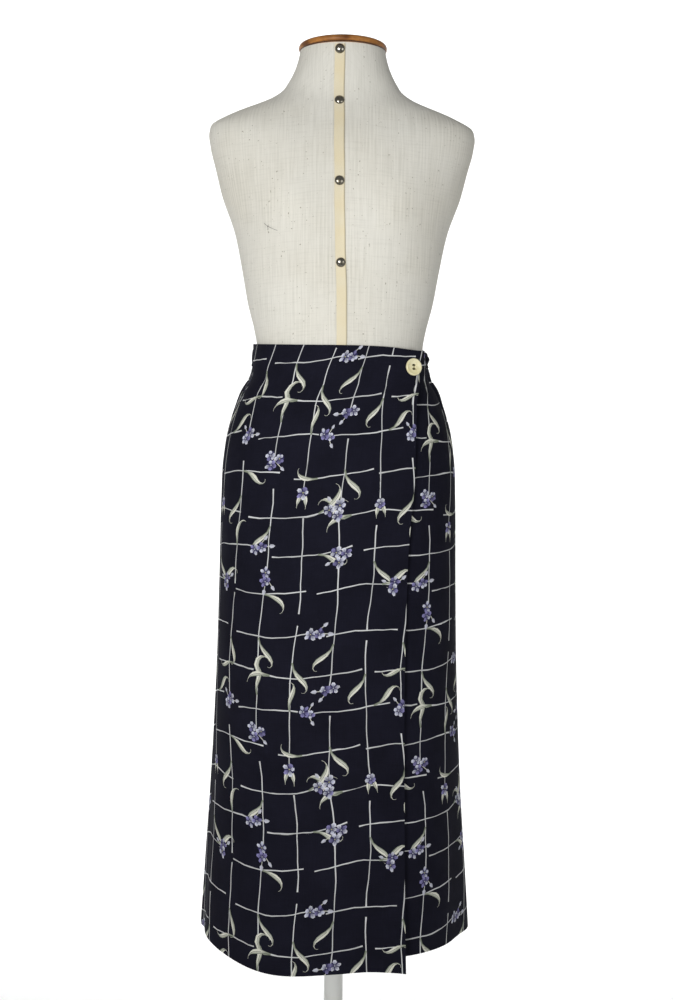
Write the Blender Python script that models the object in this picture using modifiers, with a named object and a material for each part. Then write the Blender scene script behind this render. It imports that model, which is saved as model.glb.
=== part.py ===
"""Wrap skirt worn by a limbless dress form on a pole stand.

Metres, +Z up, the floor is z = 0 and the form faces -Y. A turn is the angle round the body in
degrees, 0 at the centre front and 90 at +X. A drop is the distance below the waist line.
A lift is the distance outside the body line that the skirt hangs on.
"""

import math

import bpy
import numpy as np
from mathutils import Matrix, Vector

WAIST_HEIGHT = 1.100
CLOTH = 0.0015
SEAM_GAP = 0.0003

# Skirt
SKIRT_LENGTH = 0.860
SKIRT_SQUARENESS = 2.15
BAND_DEPTH = 0.032
LAYER_LIFT = CLOTH + SEAM_GAP
BAND_LIFT = -0.0009
BUTTON_DIAMETER = 0.025
BUTTON_THICKNESS = 0.0038
BUTTON_HOLE = 0.0024
BUTTON_HOLE_SPACING = 0.0048
BUTTON_LEVEL = 0.0240
BUTTON_FROM_CENTRE = 0.1012

# Dress form and stand
TAPE_WIDTH = 0.014
TAPE_THICKNESS = 0.0008
TAPE_TOP = 0.4065
TAPE_BOTTOM = -0.045
TAPE_NECK_OFFSET = -0.004
TAPE_WAIST_OFFSET = 0.002
TAPE_STRAIGHT_FROM = 0.30
TAPE_SEAT = 1.5 * SEAM_GAP
STUD_DIAMETER = 0.0135
STUD_RISE = 0.0032
STUD_HEIGHTS = (0.4000, 0.3330, 0.2205, 0.1120)
NECK_TILT = math.radians(3.0)
CAP_HALF_WIDTH = 0.0620
CAP_HALF_DEPTH = 0.0700
CAP_THICKNESS = 0.0082
POLE_DIAMETER = 0.028
COLLAR_DIAMETER = 0.054
COLLAR_HEIGHT = 0.046
BASE_DIAMETER = 0.410
BASE_THICKNESS = 0.014

# The body line: half width at the sides, depth in front of and behind the pole
SKIRT_COLUMNS = ("drop", "half_width", "front", "back")
SKIRT_SECTIONS = (
    (0.000, 0.1215, 0.0935, 0.0900),
    (0.030, 0.1243, 0.0940, 0.0915),
    (0.050, 0.1272, 0.0950, 0.0950),
    (0.068, 0.1380, 0.0975, 0.1040),
    (0.090, 0.1470, 0.1010, 0.1130),
    (0.125, 0.1585, 0.1060, 0.1250),
    (0.165, 0.1652, 0.1110, 0.1350),
    (0.220, 0.1678, 0.1160, 0.1410),
    (0.330, 0.1702, 0.1250, 0.1450),
    (0.450, 0.1735, 0.1370, 0.1490),
    (0.600, 0.1805, 0.1520, 0.1560),
    (0.750, 0.1900, 0.1680, 0.1660),
    (0.880, 0.1985, 0.1820, 0.1755),
)

# Seams and the overlap's free edge: the turns of both side seams, and the edge's distance from
# the centre front, measured across
EDGE_COLUMNS = ("drop", "left_seam", "right_seam", "free_edge")
EDGE_ROWS = (
    (0.000, -83.0, 76.0, 0.1060),
    (0.060, -81.0, 80.0, 0.1015),
    (0.130, -86.0, 88.0, 0.1035),
    (0.190, -88.0, 90.0, 0.1030),
    (0.260, -89.0, 91.0, 0.0972),
    (0.430, -90.0, 91.0, 0.0926),
    (0.670, -90.0, 91.0, 0.0935),
    (0.820, -90.0, 91.0, 0.0944),
    (0.870, -90.0, 91.0, 0.0945),
)
UNDERLAP_END = -42.0

# Top and bottom edges of each layer, by turn
OVERLAP_COLUMNS = ("turn", "top", "hem")
OVERLAP_ROWS = (
    (-90.0, 0.0000, 0.8550),
    (-70.0, 0.0000, 0.8468),
    (-50.0, 0.0000, 0.8562),
    (-25.0, 0.0000, 0.8660),
    (0.0, 0.0000, 0.8600),
    (15.0, 0.0003, 0.8565),
    (24.0, 0.0010, 0.8590),
    (33.0, 0.0020, 0.8640),
    (50.0, 0.0060, 0.8640),
    (70.0, 0.0085, 0.8640),
)
UNDERLAP_COLUMNS = ("turn", "top", "hem")
UNDERLAP_ROWS = (
    (-45.0, 0.0020, 0.8340),
    (0.0, 0.0025, 0.8370),
    (30.0, 0.0050, 0.8430),
    (50.0, 0.0083, 0.8442),
    (70.0, 0.0115, 0.8438),
    (92.0, 0.0110, 0.8520),
)
BACK_HEM = 0.8535

# The overlap lies over the underlap from this turn on, and rises to it over this many degrees
LAYER_START = -82.0
LAYER_GROWTH = 30.0

# How far the overlap's free edge stands off the layer below
STAND_COLUMNS = ("drop", "stand")
STAND_ROWS = (
    (0.000, 0.0105),
    (0.050, 0.0095),
    (0.120, 0.0050),
    (0.300, 0.0040),
    (0.600, 0.0050),
    (0.780, 0.0080),
    (0.870, 0.0135),
)
STAND_REACH = 30.0

# Soft folds that hang from the hips: where, how wide, where they start and how far they go in
FOLD_COLUMNS = ("turn", "width", "start", "depth")
FOLD_ROWS = (
    (-73.0, 5.0, 0.46, -0.0026),
    (-62.0, 8.0, 0.50, 0.0022),
    (-30.0, 16.0, 0.55, 0.0025),
    (62.0, 7.0, 0.52, -0.0018),
    (74.0, 8.0, 0.45, 0.0030),
    (108.0, 9.0, 0.30, -0.0090),
    (124.0, 9.0, 0.26, 0.0075),
    (141.0, 8.0, 0.22, -0.0085),
    (157.0, 9.0, 0.20, 0.0080),
    (174.0, 9.0, 0.24, -0.0095),
    (191.0, 10.0, 0.22, 0.0080),
    (208.0, 8.0, 0.25, -0.0080),
    (224.0, 9.0, 0.21, 0.0085),
    (241.0, 9.0, 0.28, -0.0090),
    (256.0, 8.0, 0.32, 0.0055),
)

# Gathers under the elastic: how deep, how far they grow and fade below it, and how they vary
GATHER_COUNT = 17
GATHER_DEPTH = 0.0075
GATHER_GROWTH = 0.030
GATHER_FADE = 0.085
GATHER_VARIATION = 0.25
GATHER_BEAT = 31.0
GATHER_SEAM = 0.03

# Ruffles along the elastic, flatter at its two stitch lines, and the puff beside the button
RUFFLE_COUNT = 27
RUFFLE_DEPTH = 0.0024
RUFFLE_AT_STITCHES = 0.45
SWELL_START = 0.12
SWELL_SPAN = 0.80
PUFF_TURN = 83.0
PUFF_WIDTH = 7.0
PUFF_DEPTH = 0.0034
BAND_DIP_END = 130.0
BAND_DIP_GROWTH = 45.0

# Hand-pulled gathers and ruffles are spaced unevenly: by what share of a wave, and how it varies
UNEVEN_SHARE = 0.30
UNEVEN_BEAT = 2.3
UNEVEN_START = 1.1

# The torso: height over the waist, half width, depths and squareness of each section
FORM_COLUMNS = ("height", "half_width", "front", "back", "squareness")
FORM_SECTIONS = (
    (-0.286, 0.1400, 0.0940, 0.1060, 2.1),
    (-0.276, 0.1500, 0.1015, 0.1180, 2.1),
    (-0.240, 0.1590, 0.1070, 0.1290, 2.1),
    (-0.190, 0.1635, 0.1098, 0.1345, 2.12),
    (-0.150, 0.1616, 0.1073, 0.1295, 2.15),
    (-0.115, 0.1540, 0.1027, 0.1200, 2.15),
    (-0.090, 0.1453, 0.0994, 0.1112, 2.15),
    (-0.068, 0.1360, 0.0960, 0.1020, 2.15),
    (-0.050, 0.1254, 0.0934, 0.0930, 2.15),
    (-0.030, 0.1203, 0.0923, 0.0898, 2.15),
    (-0.006, 0.1186, 0.0919, 0.0884, 2.15),
    (0.020, 0.1228, 0.0925, 0.0895, 2.15),
    (0.055, 0.1315, 0.0955, 0.0930, 2.15),
    (0.106, 0.1405, 0.1000, 0.0985, 2.2),
    (0.157, 0.1510, 0.1040, 0.1030, 2.2),
    (0.208, 0.1690, 0.1060, 0.1080, 2.25),
    (0.241, 0.1772, 0.1030, 0.1100, 2.35),
    (0.275, 0.1856, 0.0940, 0.1080, 2.5),
    (0.294, 0.1871, 0.0860, 0.1030, 2.5),
    (0.306, 0.1822, 0.0795, 0.0985, 2.4),
    (0.3155, 0.1655, 0.0745, 0.0945, 2.3),
    (0.3245, 0.1462, 0.0700, 0.0900, 2.2),
    (0.3330, 0.1240, 0.0660, 0.0855, 2.1),
    (0.3415, 0.1034, 0.0632, 0.0810, 2.0),
    (0.3510, 0.0876, 0.0612, 0.0765, 2.0),
    (0.3660, 0.0760, 0.0602, 0.0715, 2.0),
    (0.3830, 0.0672, 0.0602, 0.0682, 2.0),
    (0.4000, 0.0618, 0.0608, 0.0658, 2.0),
    (0.4090, 0.0600, 0.0610, 0.0642, 2.0),
)
# The right shoulder sits a little lower than the left one
SHOULDER_SLOPE = 0.012
SHOULDER_BOTTOM = 0.220
SHOULDER_GROWTH = 0.080
NECK_BOTTOM = 0.340
BUST_RISE = 0.0180
BUST_HEIGHT = 0.178
BUST_FROM_CENTRE = 0.078
BUST_ACROSS = 0.042
BUST_UP = 0.048

# How finely each piece is divided
TORSO_COLUMNS = 40
OVERLAP_COLUMNS_ACROSS = 28
UNDERLAP_COLUMNS_ACROSS = 24
BACK_COLUMNS_ACROSS = 64
BAND_COLUMNS_ACROSS = 96
CLOTH_ROWS = (
    (0.000, 0.016, 0.033, 0.050, 0.068, 0.090, 0.125, 0.165)
    + (0.220, 0.290, 0.380, 0.480, 0.580, 0.680, 0.770, 0.830, 0.860)
)
BAND_ROWS = (0, 0.008, 0.016, 0.024, 0.032)
TAPE_ROWS = 26
TURNED_STEPS = 36
SMALL_STEPS = 14

# Colour in sRGB, roughness and metallic value of each material
FINISHES = {
    "navy print cloth": ((30, 30, 41), 0.85, 0.0),
    "button shell": ((232, 224, 178), 0.35, 0.0),
    "calico": ((211, 207, 194), 0.90, 0.0),
    "cotton tape": ((217, 208, 181), 0.85, 0.0),
    "stud metal": ((150, 148, 140), 0.25, 1.0),
    "neck wood": ((152, 96, 52), 0.45, 0.0),
    "pale paint": ((210, 211, 207), 0.40, 0.0),
}


def read_row(columns, rows, at):
    """The table's row at this value of its first column, on a smooth curve through the rows."""
    table = np.asarray(rows)
    keys = table[:, 0]
    at = min(max(at, keys[0]), keys[-1])
    slopes = np.gradient(table, keys, axis=0)
    low = min(max(int(np.searchsorted(keys, at)) - 1, 0), len(keys) - 2)
    step = keys[low + 1] - keys[low]
    t = (at - keys[low]) / step
    value = (
        (2 * t**3 - 3 * t**2 + 1) * table[low]
        + (t**3 - 2 * t**2 + t) * step * slopes[low]
        + (3 * t**2 - 2 * t**3) * table[low + 1]
        + (t**3 - t**2) * step * slopes[low + 1]
    )
    return dict(zip(columns, value.tolist()))


def ease(t):
    """Rises smoothly from 0 to 1."""
    t = min(max(t, 0.0), 1.0)
    return t * t * (3 - 2 * t)


def ring_point(turn, half_width, front, back, squareness):
    """A point of a rounded section, in plan."""
    across = math.sin(math.radians(turn))
    ahead = math.cos(math.radians(turn))
    reach = (abs(across) ** squareness + abs(ahead) ** squareness) ** (-1 / squareness)
    depth = front if ahead > 0 else back
    return Vector((half_width * across * reach, -depth * ahead * reach))


def outward(turn, *section):
    """The section's outward direction in plan."""
    along = ring_point(turn + 1, *section) - ring_point(turn - 1, *section)
    return Vector((along.y, -along.x)).normalized()


def skirt_point(turn, drop, lift):
    """A point of the cloth, this far outside the body line."""
    row = read_row(SKIRT_COLUMNS, SKIRT_SECTIONS, drop)
    section = (row["half_width"], row["front"], row["back"], SKIRT_SQUARENESS)
    place = ring_point(turn, *section) + lift * outward(turn, *section)
    return Vector((place.x, place.y, WAIST_HEIGHT - drop))


def turn_of(from_centre, drop, lift):
    """The turn, in the right half of the front, at this distance from the centre front."""
    low, high = 0.0, 89.0
    while high - low > 0.01:
        middle = (low + high) / 2
        if skirt_point(middle, drop, lift).x < from_centre:
            low = middle
        else:
            high = middle
    return low


def fold_lift(turn, drop):
    """The soft hanging folds, which all layers share."""
    lift = 0.0
    for row in FOLD_ROWS:
        fold = dict(zip(FOLD_COLUMNS, row))
        away = (turn - fold["turn"]) / fold["width"]
        reach = ease((drop - fold["start"]) / (SKIRT_LENGTH - fold["start"]))
        lift += fold["depth"] * math.exp(-away * away) * reach
    return lift


def between_rims(columns, rows, turn, level):
    """The drop of a level of the skirt, fitted between a layer's top and its hem at this turn."""
    rims = read_row(columns, rows, turn)
    return rims["top"] + level * (rims["hem"] - rims["top"]) / SKIRT_LENGTH


def overlap_place(u, level):
    """The inner face of the overlap: u runs from the side seam to the free edge."""
    edges = read_row(EDGE_COLUMNS, EDGE_ROWS, level)
    edge_turn = turn_of(edges["free_edge"], level, LAYER_LIFT)
    turn = edges["left_seam"] + u * (edge_turn - edges["left_seam"])
    drop = between_rims(OVERLAP_COLUMNS, OVERLAP_ROWS, turn, level)
    layer = LAYER_LIFT * ease((turn - LAYER_START) / LAYER_GROWTH)
    stand = read_row(STAND_COLUMNS, STAND_ROWS, drop)["stand"]
    stand *= max(0.0, (turn - edge_turn) / STAND_REACH + 1) ** 2
    return skirt_point(turn, drop, layer + stand + fold_lift(turn, drop))


def underlap_place(u, level):
    """The inner face of the underlap: u runs from its hidden edge to the side seam."""
    edges = read_row(EDGE_COLUMNS, EDGE_ROWS, level)
    turn = UNDERLAP_END + u * (edges["right_seam"] - UNDERLAP_END)
    drop = between_rims(UNDERLAP_COLUMNS, UNDERLAP_ROWS, turn, level)
    return skirt_point(turn, drop, fold_lift(turn, drop))


def seam_turns(drop, gap=SEAM_GAP):
    """The turns between which the back lies, just clear of both side seams."""
    edges = read_row(EDGE_COLUMNS, EDGE_ROWS, drop)
    half_width = read_row(SKIRT_COLUMNS, SKIRT_SECTIONS, drop)["half_width"]
    clear = math.degrees(2 * gap / half_width)
    return edges["right_seam"] + clear, edges["left_seam"] + 360.0 - clear


def uneven(u, count):
    """The phase of hand-pulled gathers: count waves with a spacing that varies."""
    wander = UNEVEN_SHARE * math.sin(2 * math.pi * UNEVEN_BEAT * u + UNEVEN_START)
    return 2 * math.pi * (count * u + wander)


def back_place(u, level):
    """The inner face of the back: u runs from the right side seam round to the left one."""
    drop = max(level * BACK_HEM / SKIRT_LENGTH, BAND_DEPTH + 4 * SEAM_GAP)
    fall = drop - BAND_DEPTH
    first, last = seam_turns(level)
    turn = first + u * (last - first)
    rise = GATHER_DEPTH * ease(fall / GATHER_GROWTH) * math.exp(-fall / GATHER_FADE)
    rise *= 1 - GATHER_VARIATION * (1 - math.sin(GATHER_BEAT * u))
    gather = rise * (0.5 - 0.5 * math.cos(uneven(u, GATHER_COUNT)))
    seam = ease(min(u, 1 - u) / GATHER_SEAM)
    return skirt_point(turn, drop, gather * seam + fold_lift(turn, drop))


def band_place(u, level):
    """The inner face of the elastic waistband, ruffled and puffed between its two stitch lines."""
    v = level / BAND_DEPTH
    first, last = seam_turns(level)
    turn = first + u * (last - first)
    dip = read_row(UNDERLAP_COLUMNS, UNDERLAP_ROWS, turn)["top"]
    drop = level + dip * ease((BAND_DIP_END - turn) / BAND_DIP_GROWTH) * (1 - v)
    swell = math.sin(math.pi * (SWELL_START + SWELL_SPAN * v))
    ruffle = RUFFLE_DEPTH * (0.5 - 0.5 * math.cos(uneven(u, RUFFLE_COUNT)))
    ruffle *= RUFFLE_AT_STITCHES + (1 - RUFFLE_AT_STITCHES) * swell
    puff = PUFF_DEPTH * math.exp(-(((turn - PUFF_TURN) / PUFF_WIDTH) ** 2)) * swell**2
    return skirt_point(turn, drop, BAND_LIFT + ruffle + puff)


def form_point(turn, height):
    """A point on the torso's surface, by the height over the waist."""
    row = read_row(FORM_COLUMNS, FORM_SECTIONS, height)
    place = ring_point(turn, row["half_width"], row["front"], row["back"], row["squareness"])
    if place.y < 0:
        up = (height - BUST_HEIGHT) / BUST_UP
        out = (abs(place.x) - BUST_FROM_CENTRE) / BUST_ACROSS
        place.y -= BUST_RISE * math.exp(-(up * up + out * out) / 2)
    neck = ease((height - NECK_BOTTOM) / (FORM_SECTIONS[-1][0] - NECK_BOTTOM))
    lean = -place.y * math.tan(NECK_TILT) * neck
    shoulder = ease((height - SHOULDER_BOTTOM) / SHOULDER_GROWTH) * (1 - neck)
    lean -= SHOULDER_SLOPE * place.x * shoulder
    return Vector((place.x, place.y, WAIST_HEIGHT + height + lean))


def form_front(across, height):
    """A point of the torso's front at this distance from its centre, and the outward direction."""
    low, high = -30.0, 30.0
    while high - low > 0.01:
        middle = (low + high) / 2
        if form_point(middle, height).x < across:
            low = middle
        else:
            high = middle
    place = form_point(low, height)
    up = form_point(low, height + 0.004) - form_point(low, height - 0.004)
    side = form_point(low + 1, height) - form_point(low - 1, height)
    return place, side.cross(up).normalized()


def tape_centre(height):
    """The tape runs a few millimetres off true, from one side of the neck to the other at the waist."""
    drift = ease(height / TAPE_STRAIGHT_FROM)
    return TAPE_WAIST_OFFSET + (TAPE_NECK_OFFSET - TAPE_WAIST_OFFSET) * drift


def tape_place(u, level):
    """The inner face of the centre tape: u runs across it, the level runs down from its top."""
    height = TAPE_TOP - level
    across = tape_centre(height) + (u - 0.5) * TAPE_WIDTH
    place, normal = form_front(across, height)
    return place + normal * TAPE_SEAT


def finish(name):
    """A plain material of one of the finishes."""
    colour, roughness, metallic = FINISHES[name]
    material = bpy.data.materials.get(name)
    if material is None:
        material = bpy.data.materials.new(name)
        material.use_nodes = True
        shader = material.node_tree.nodes["Principled BSDF"]
        linear = [((c / 255 + 0.055) / 1.055) ** 2.4 for c in colour]
        shader.inputs["Base Color"].default_value = (*linear, 1.0)
        shader.inputs["Roughness"].default_value = roughness
        shader.inputs["Metallic"].default_value = metallic
    return material


def keep(name, mesh, finish_name, collection):
    """A mesh as a named, smooth shaded object with its material."""
    mesh.update()
    mesh.shade_smooth()
    mesh.set_sharp_from_angle(angle=math.radians(40))
    mesh.materials.append(finish(finish_name))
    obj = bpy.data.objects.new(name, mesh)
    collection.objects.link(obj)
    return obj


def panel(name, across, levels, place, thickness, finish_name, collection):
    """A cloth wall: a grid of points on its inner face, given its thickness outwards."""
    points = [place(i / across, level) for level in levels for i in range(across + 1)]
    wide = across + 1
    faces = [
        (j * wide + i, (j + 1) * wide + i, (j + 1) * wide + i + 1, j * wide + i + 1)
        for j in range(len(levels) - 1)
        for i in range(across)
    ]
    mesh = bpy.data.meshes.new(name)
    mesh.from_pydata(points, [], faces)
    obj = keep(name, mesh, finish_name, collection)
    wall = obj.modifiers.new("Wall", "SOLIDIFY")
    wall.thickness = thickness
    wall.offset = 1.0
    return obj


def turned(name, profile, steps, finish_name, collection):
    """A turned piece: its profile runs from the axis at the top, down the outside, to the axis."""
    mesh = bpy.data.meshes.new(name)
    points = [(radius, 0.0, height) for radius, height in profile]
    mesh.from_pydata(points, [(i, i + 1) for i in range(len(points) - 1)], [])
    obj = keep(name, mesh, finish_name, collection)
    lathe = obj.modifiers.new("Turned", "SCREW")
    lathe.steps = steps
    lathe.render_steps = steps
    lathe.use_merge_vertices = True
    lathe.merge_threshold = 0.00005
    lathe.use_smooth_shade = True
    return obj


def arc(radius, height, size, first, last, count):
    """Points of a profile on an arc of this size, by angles in degrees from the +X direction."""
    angles = np.radians(np.linspace(first, last, count))
    return [(radius + size * math.cos(a), height + size * math.sin(a)) for a in angles]


def facing(place, normal, spin=0.0):
    """The matrix that stands a turned piece on a surface, its axis along the normal."""
    turned_to = normal.to_track_quat("Z", "Y").to_matrix().to_4x4()
    return Matrix.Translation(place) @ turned_to @ Matrix.Rotation(spin, 4, "Z")


def make_torso(collection):
    """The padded torso, lofted through its sections and closed at the neck and the bottom."""
    heights = [row[0] for row in FORM_SECTIONS]
    rings = []
    for low, high in zip(heights, heights[1:]):
        rings.append(low)
        if high - low > 0.045:
            rings.append((low + high) / 2)
    rings.append(heights[-1])
    turns = [360.0 * i / TORSO_COLUMNS for i in range(TORSO_COLUMNS)]
    points = [form_point(turn, height) for height in rings for turn in turns]
    faces = []
    for j in range(len(rings) - 1):
        for i in range(TORSO_COLUMNS):
            k = (i + 1) % TORSO_COLUMNS
            low, high = j * TORSO_COLUMNS, (j + 1) * TORSO_COLUMNS
            faces.append((low + i, low + k, high + k, high + i))
    faces.append(tuple(reversed(range(TORSO_COLUMNS))))
    faces.append(tuple(range((len(rings) - 1) * TORSO_COLUMNS, len(rings) * TORSO_COLUMNS)))
    mesh = bpy.data.meshes.new("form_torso")
    mesh.from_pydata(points, [], faces)
    keep("form_torso", mesh, "calico", collection)


def make_neck_cap(collection):
    """The oval wooden cap, which leans with the neck and overhangs it a little."""
    half = CAP_THICKNESS / 2
    crown = [(0.0, half + 0.0012), (0.55 * CAP_HALF_WIDTH, half + 0.0008)]
    rim = arc(CAP_HALF_WIDTH - half, 0.0, half, 90, -90, 7)
    profile = crown + rim + [(0.0, -half)]
    cap = turned("neck_cap", profile, TURNED_STEPS, "neck wood", collection)
    cap.scale = (1.0, CAP_HALF_DEPTH / CAP_HALF_WIDTH, 1.0)
    cap.rotation_euler = (-NECK_TILT, 0.0, 0.0)
    top = FORM_SECTIONS[-1]
    cap.location = (0.0, (top[3] - top[2]) / 2, WAIST_HEIGHT + top[0] + half + SEAM_GAP)


def rest_on(points, place, normal, radius):
    """The place moved out along the normal until a flat disc clears the points beneath it."""
    rise = 0.0
    for point in points:
        under = point - place
        if (under - under.dot(normal) * normal).length < radius:
            rise = max(rise, under.dot(normal))
    return place + rise * normal


def make_stud(number, height, collection):
    """A domed upholstery stud on the centre tape."""
    radius = STUD_DIAMETER / 2
    dome = [
        (radius * math.sin(a), STUD_RISE * math.cos(a))
        for a in np.radians(np.linspace(0, 80, 6))
    ]
    profile = dome + [(radius, 0.0), (0.0, 0.0)]
    stud = turned(f"stud_{number}", profile, SMALL_STEPS, "stud metal", collection)
    place, normal = form_front(tape_centre(height), height)
    levels = np.linspace(-radius, radius, 9).tolist()
    points = [form_front(tape_centre(height), height + up)[0] for up in levels]
    points += [form_front(tape_centre(height) + side, height)[0] for side in (-radius, radius)]
    seat = TAPE_SEAT + TAPE_THICKNESS + 2 * SEAM_GAP
    stud.matrix_world = facing(rest_on(points, place, normal, radius) + seat * normal, normal)


def overlap_across(from_centre, level):
    """How far across the overlap, from 0 to 1, its points lie this far from the centre front."""
    low, high = 0.0, 1.0
    while high - low > 1e-4:
        middle = (low + high) / 2
        if overlap_place(middle, level).x < from_centre:
            low = middle
        else:
            high = middle
    return low


def button_seat():
    """Where the button's back rests on the overlap's outer face, and the outward direction."""
    radius = BUTTON_DIAMETER / 2
    centre = overlap_across(BUTTON_FROM_CENTRE, BUTTON_LEVEL)
    reach = overlap_across(BUTTON_FROM_CENTRE - radius, BUTTON_LEVEL)
    place = overlap_place(centre, BUTTON_LEVEL)
    side = place - overlap_place(reach, BUTTON_LEVEL)
    down = overlap_place(centre, BUTTON_LEVEL + radius) - overlap_place(centre, BUTTON_LEVEL - radius)
    normal = down.cross(side).normalized()
    levels = np.linspace(BUTTON_LEVEL - radius, BUTTON_LEVEL + radius, 9).tolist()
    across = np.linspace(reach, 1.0, 7).tolist()
    points = [overlap_place(u, level) for level in levels for u in across]
    return rest_on(points, place, normal, radius) + (CLOTH + 2 * SEAM_GAP) * normal, normal


def make_button(collection, cutters):
    """A two-hole button with a raised rim, seated on the overlap beside its free edge."""
    radius = BUTTON_DIAMETER / 2
    half = BUTTON_THICKNESS / 2
    rim = arc(radius - half, half, half, 90, -90, 7)
    dish = [(0.0, 0.62 * BUTTON_THICKNESS), (0.50 * radius, 0.66 * BUTTON_THICKNESS)]
    profile = dish + [(0.72 * radius, 0.94 * BUTTON_THICKNESS)] + rim + [(0.0, 0.0)]
    button = turned("button", profile, TURNED_STEPS, "button shell", collection)
    stood = facing(*button_seat())
    button.matrix_world = stood
    for side in (-1, 1):
        bpy.ops.mesh.primitive_cylinder_add(
            vertices=12, radius=BUTTON_HOLE / 2, depth=4 * BUTTON_THICKNESS
        )
        cutter = bpy.context.object
        cutter.name = f"button_hole_cutter_{side + 2}"
        cutter.matrix_world = stood @ Matrix.Translation((0, side * BUTTON_HOLE_SPACING / 2, 0))
        cutter.hide_render = True
        cutter.display_type = "WIRE"
        for home in list(cutter.users_collection):
            home.objects.unlink(cutter)
        cutters.objects.link(cutter)
        hole = button.modifiers.new("Hole", "BOOLEAN")
        hole.object = cutter
        hole.operation = "DIFFERENCE"


def make_stand(collection):
    """The round base, the collar that holds the pole, and the pole up to the torso."""
    radius = BASE_DIAMETER / 2
    round_edge = 0.006
    base = [(0.0, BASE_THICKNESS)]
    base += arc(radius - round_edge, BASE_THICKNESS - round_edge, round_edge, 90, 0, 5)
    base += [(radius, 0.001), (radius - 0.001, 0.0), (0.0, 0.0)]
    turned("base", base, TURNED_STEPS, "pale paint", collection)

    bore = POLE_DIAMETER / 2 + SEAM_GAP
    outer = COLLAR_DIAMETER / 2
    foot = BASE_THICKNESS + SEAM_GAP
    collar = [(bore, foot + COLLAR_HEIGHT)]
    collar += arc(outer - 0.010, foot + COLLAR_HEIGHT - 0.004, 0.004, 90, 0, 4)
    collar += arc(outer + 0.002, foot + 0.016, 0.008, 180, 270, 5)
    collar += [(outer + 0.004, foot + 0.006), (outer + 0.004, foot), (bore, foot)]
    collar.append(collar[0])
    turned("collar", collar, 2 * SMALL_STEPS, "pale paint", collection)

    bottom = WAIST_HEIGHT + FORM_SECTIONS[0][0] - SEAM_GAP
    pole_radius = POLE_DIAMETER / 2
    pole = [(0.0, bottom), (pole_radius, bottom), (pole_radius, foot), (0.0, foot)]
    turned("pole", pole, 2 * SMALL_STEPS, "pale paint", collection)


def main():
    for obj in list(bpy.data.objects):
        bpy.data.objects.remove(obj, do_unlink=True)
    scene = bpy.context.scene
    parts = bpy.data.collections.new("Wrap skirt on dress form")
    cutters = bpy.data.collections.new("Cutters")
    scene.collection.children.link(parts)
    scene.collection.children.link(cutters)

    make_torso(parts)
    make_neck_cap(parts)
    tape = np.linspace(0.0, TAPE_TOP - TAPE_BOTTOM, TAPE_ROWS).tolist()
    panel("centre_tape", 2, tape, tape_place, TAPE_THICKNESS, "cotton tape", parts)
    for number, height in enumerate(STUD_HEIGHTS, start=1):
        make_stud(number, height, parts)
    make_stand(parts)

    layers = (
        ("front_underlap", UNDERLAP_COLUMNS_ACROSS, CLOTH_ROWS, underlap_place),
        ("front_overlap", OVERLAP_COLUMNS_ACROSS, CLOTH_ROWS, overlap_place),
        ("back_panel", BACK_COLUMNS_ACROSS, CLOTH_ROWS[2:], back_place),
        ("elastic_waistband", BAND_COLUMNS_ACROSS, BAND_ROWS, band_place),
    )
    for name, across, levels, place in layers:
        panel(name, across, levels, place, CLOTH, "navy print cloth", parts)
    make_button(parts, cutters)


main()
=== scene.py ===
"""A printed wrap skirt on a calico dress form: finishes, cloth, print, button and soft studio light.

Metres, +Z up, the floor is z = 0 and the form faces -Y. A turn is the angle round the body in
degrees, 0 at the centre front and 90 at +X. A level or a drop is the distance below the waist line,
a height is the distance over it, and a lift is the distance outside the body line.
"""

import math

import bmesh
import bpy
import numpy as np
from bpy.props import FloatProperty, FloatVectorProperty, PointerProperty
from mathutils import Matrix, Vector
from mathutils.geometry import delaunay_2d_cdt


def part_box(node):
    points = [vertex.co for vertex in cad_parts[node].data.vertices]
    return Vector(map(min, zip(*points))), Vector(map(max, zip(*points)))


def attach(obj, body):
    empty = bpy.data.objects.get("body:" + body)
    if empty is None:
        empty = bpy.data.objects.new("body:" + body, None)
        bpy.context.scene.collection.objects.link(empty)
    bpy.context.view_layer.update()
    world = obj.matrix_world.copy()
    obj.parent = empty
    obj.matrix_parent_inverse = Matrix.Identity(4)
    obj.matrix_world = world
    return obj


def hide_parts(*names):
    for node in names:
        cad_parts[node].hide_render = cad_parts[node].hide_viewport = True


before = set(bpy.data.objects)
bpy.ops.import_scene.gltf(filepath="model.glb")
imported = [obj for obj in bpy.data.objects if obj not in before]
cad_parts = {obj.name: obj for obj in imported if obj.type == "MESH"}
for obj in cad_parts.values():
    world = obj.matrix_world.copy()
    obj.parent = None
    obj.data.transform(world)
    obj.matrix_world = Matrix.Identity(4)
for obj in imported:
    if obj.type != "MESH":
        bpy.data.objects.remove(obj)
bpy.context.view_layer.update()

bl_info = {
    "name": "Wrap skirt on a dress form",
    "version": (1, 0, 0),
    "blender": (4, 5, 0),
    "location": "View3D > Sidebar > Skirt",
    "description": "Dresses the packed frame of a wrap skirt on a dress form",
    "category": "Object",
}

# Sizes that the frame was built from
WAIST_HEIGHT = 1.100
CLOTH = 0.0015
SEAM_GAP = 0.0003
SKIRT_LENGTH = 0.860
SKIRT_SQUARENESS = 2.15
BAND_DEPTH = 0.032
LAYER_LIFT = CLOTH + SEAM_GAP
BAND_LIFT = -0.0009
TAPE_WIDTH = 0.014
TAPE_THICKNESS = 0.0008
TAPE_TOP = 0.4065
TAPE_BOTTOM = -0.045
TAPE_NECK_OFFSET = -0.004
TAPE_WAIST_OFFSET = 0.002
TAPE_STRAIGHT_FROM = 0.30
STUD_DIAMETER = 0.0135
NECK_TILT = math.radians(3.0)
CAP_HALF_WIDTH = 0.0620
CAP_HALF_DEPTH = 0.0700
CAP_THICKNESS = 0.0082
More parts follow.
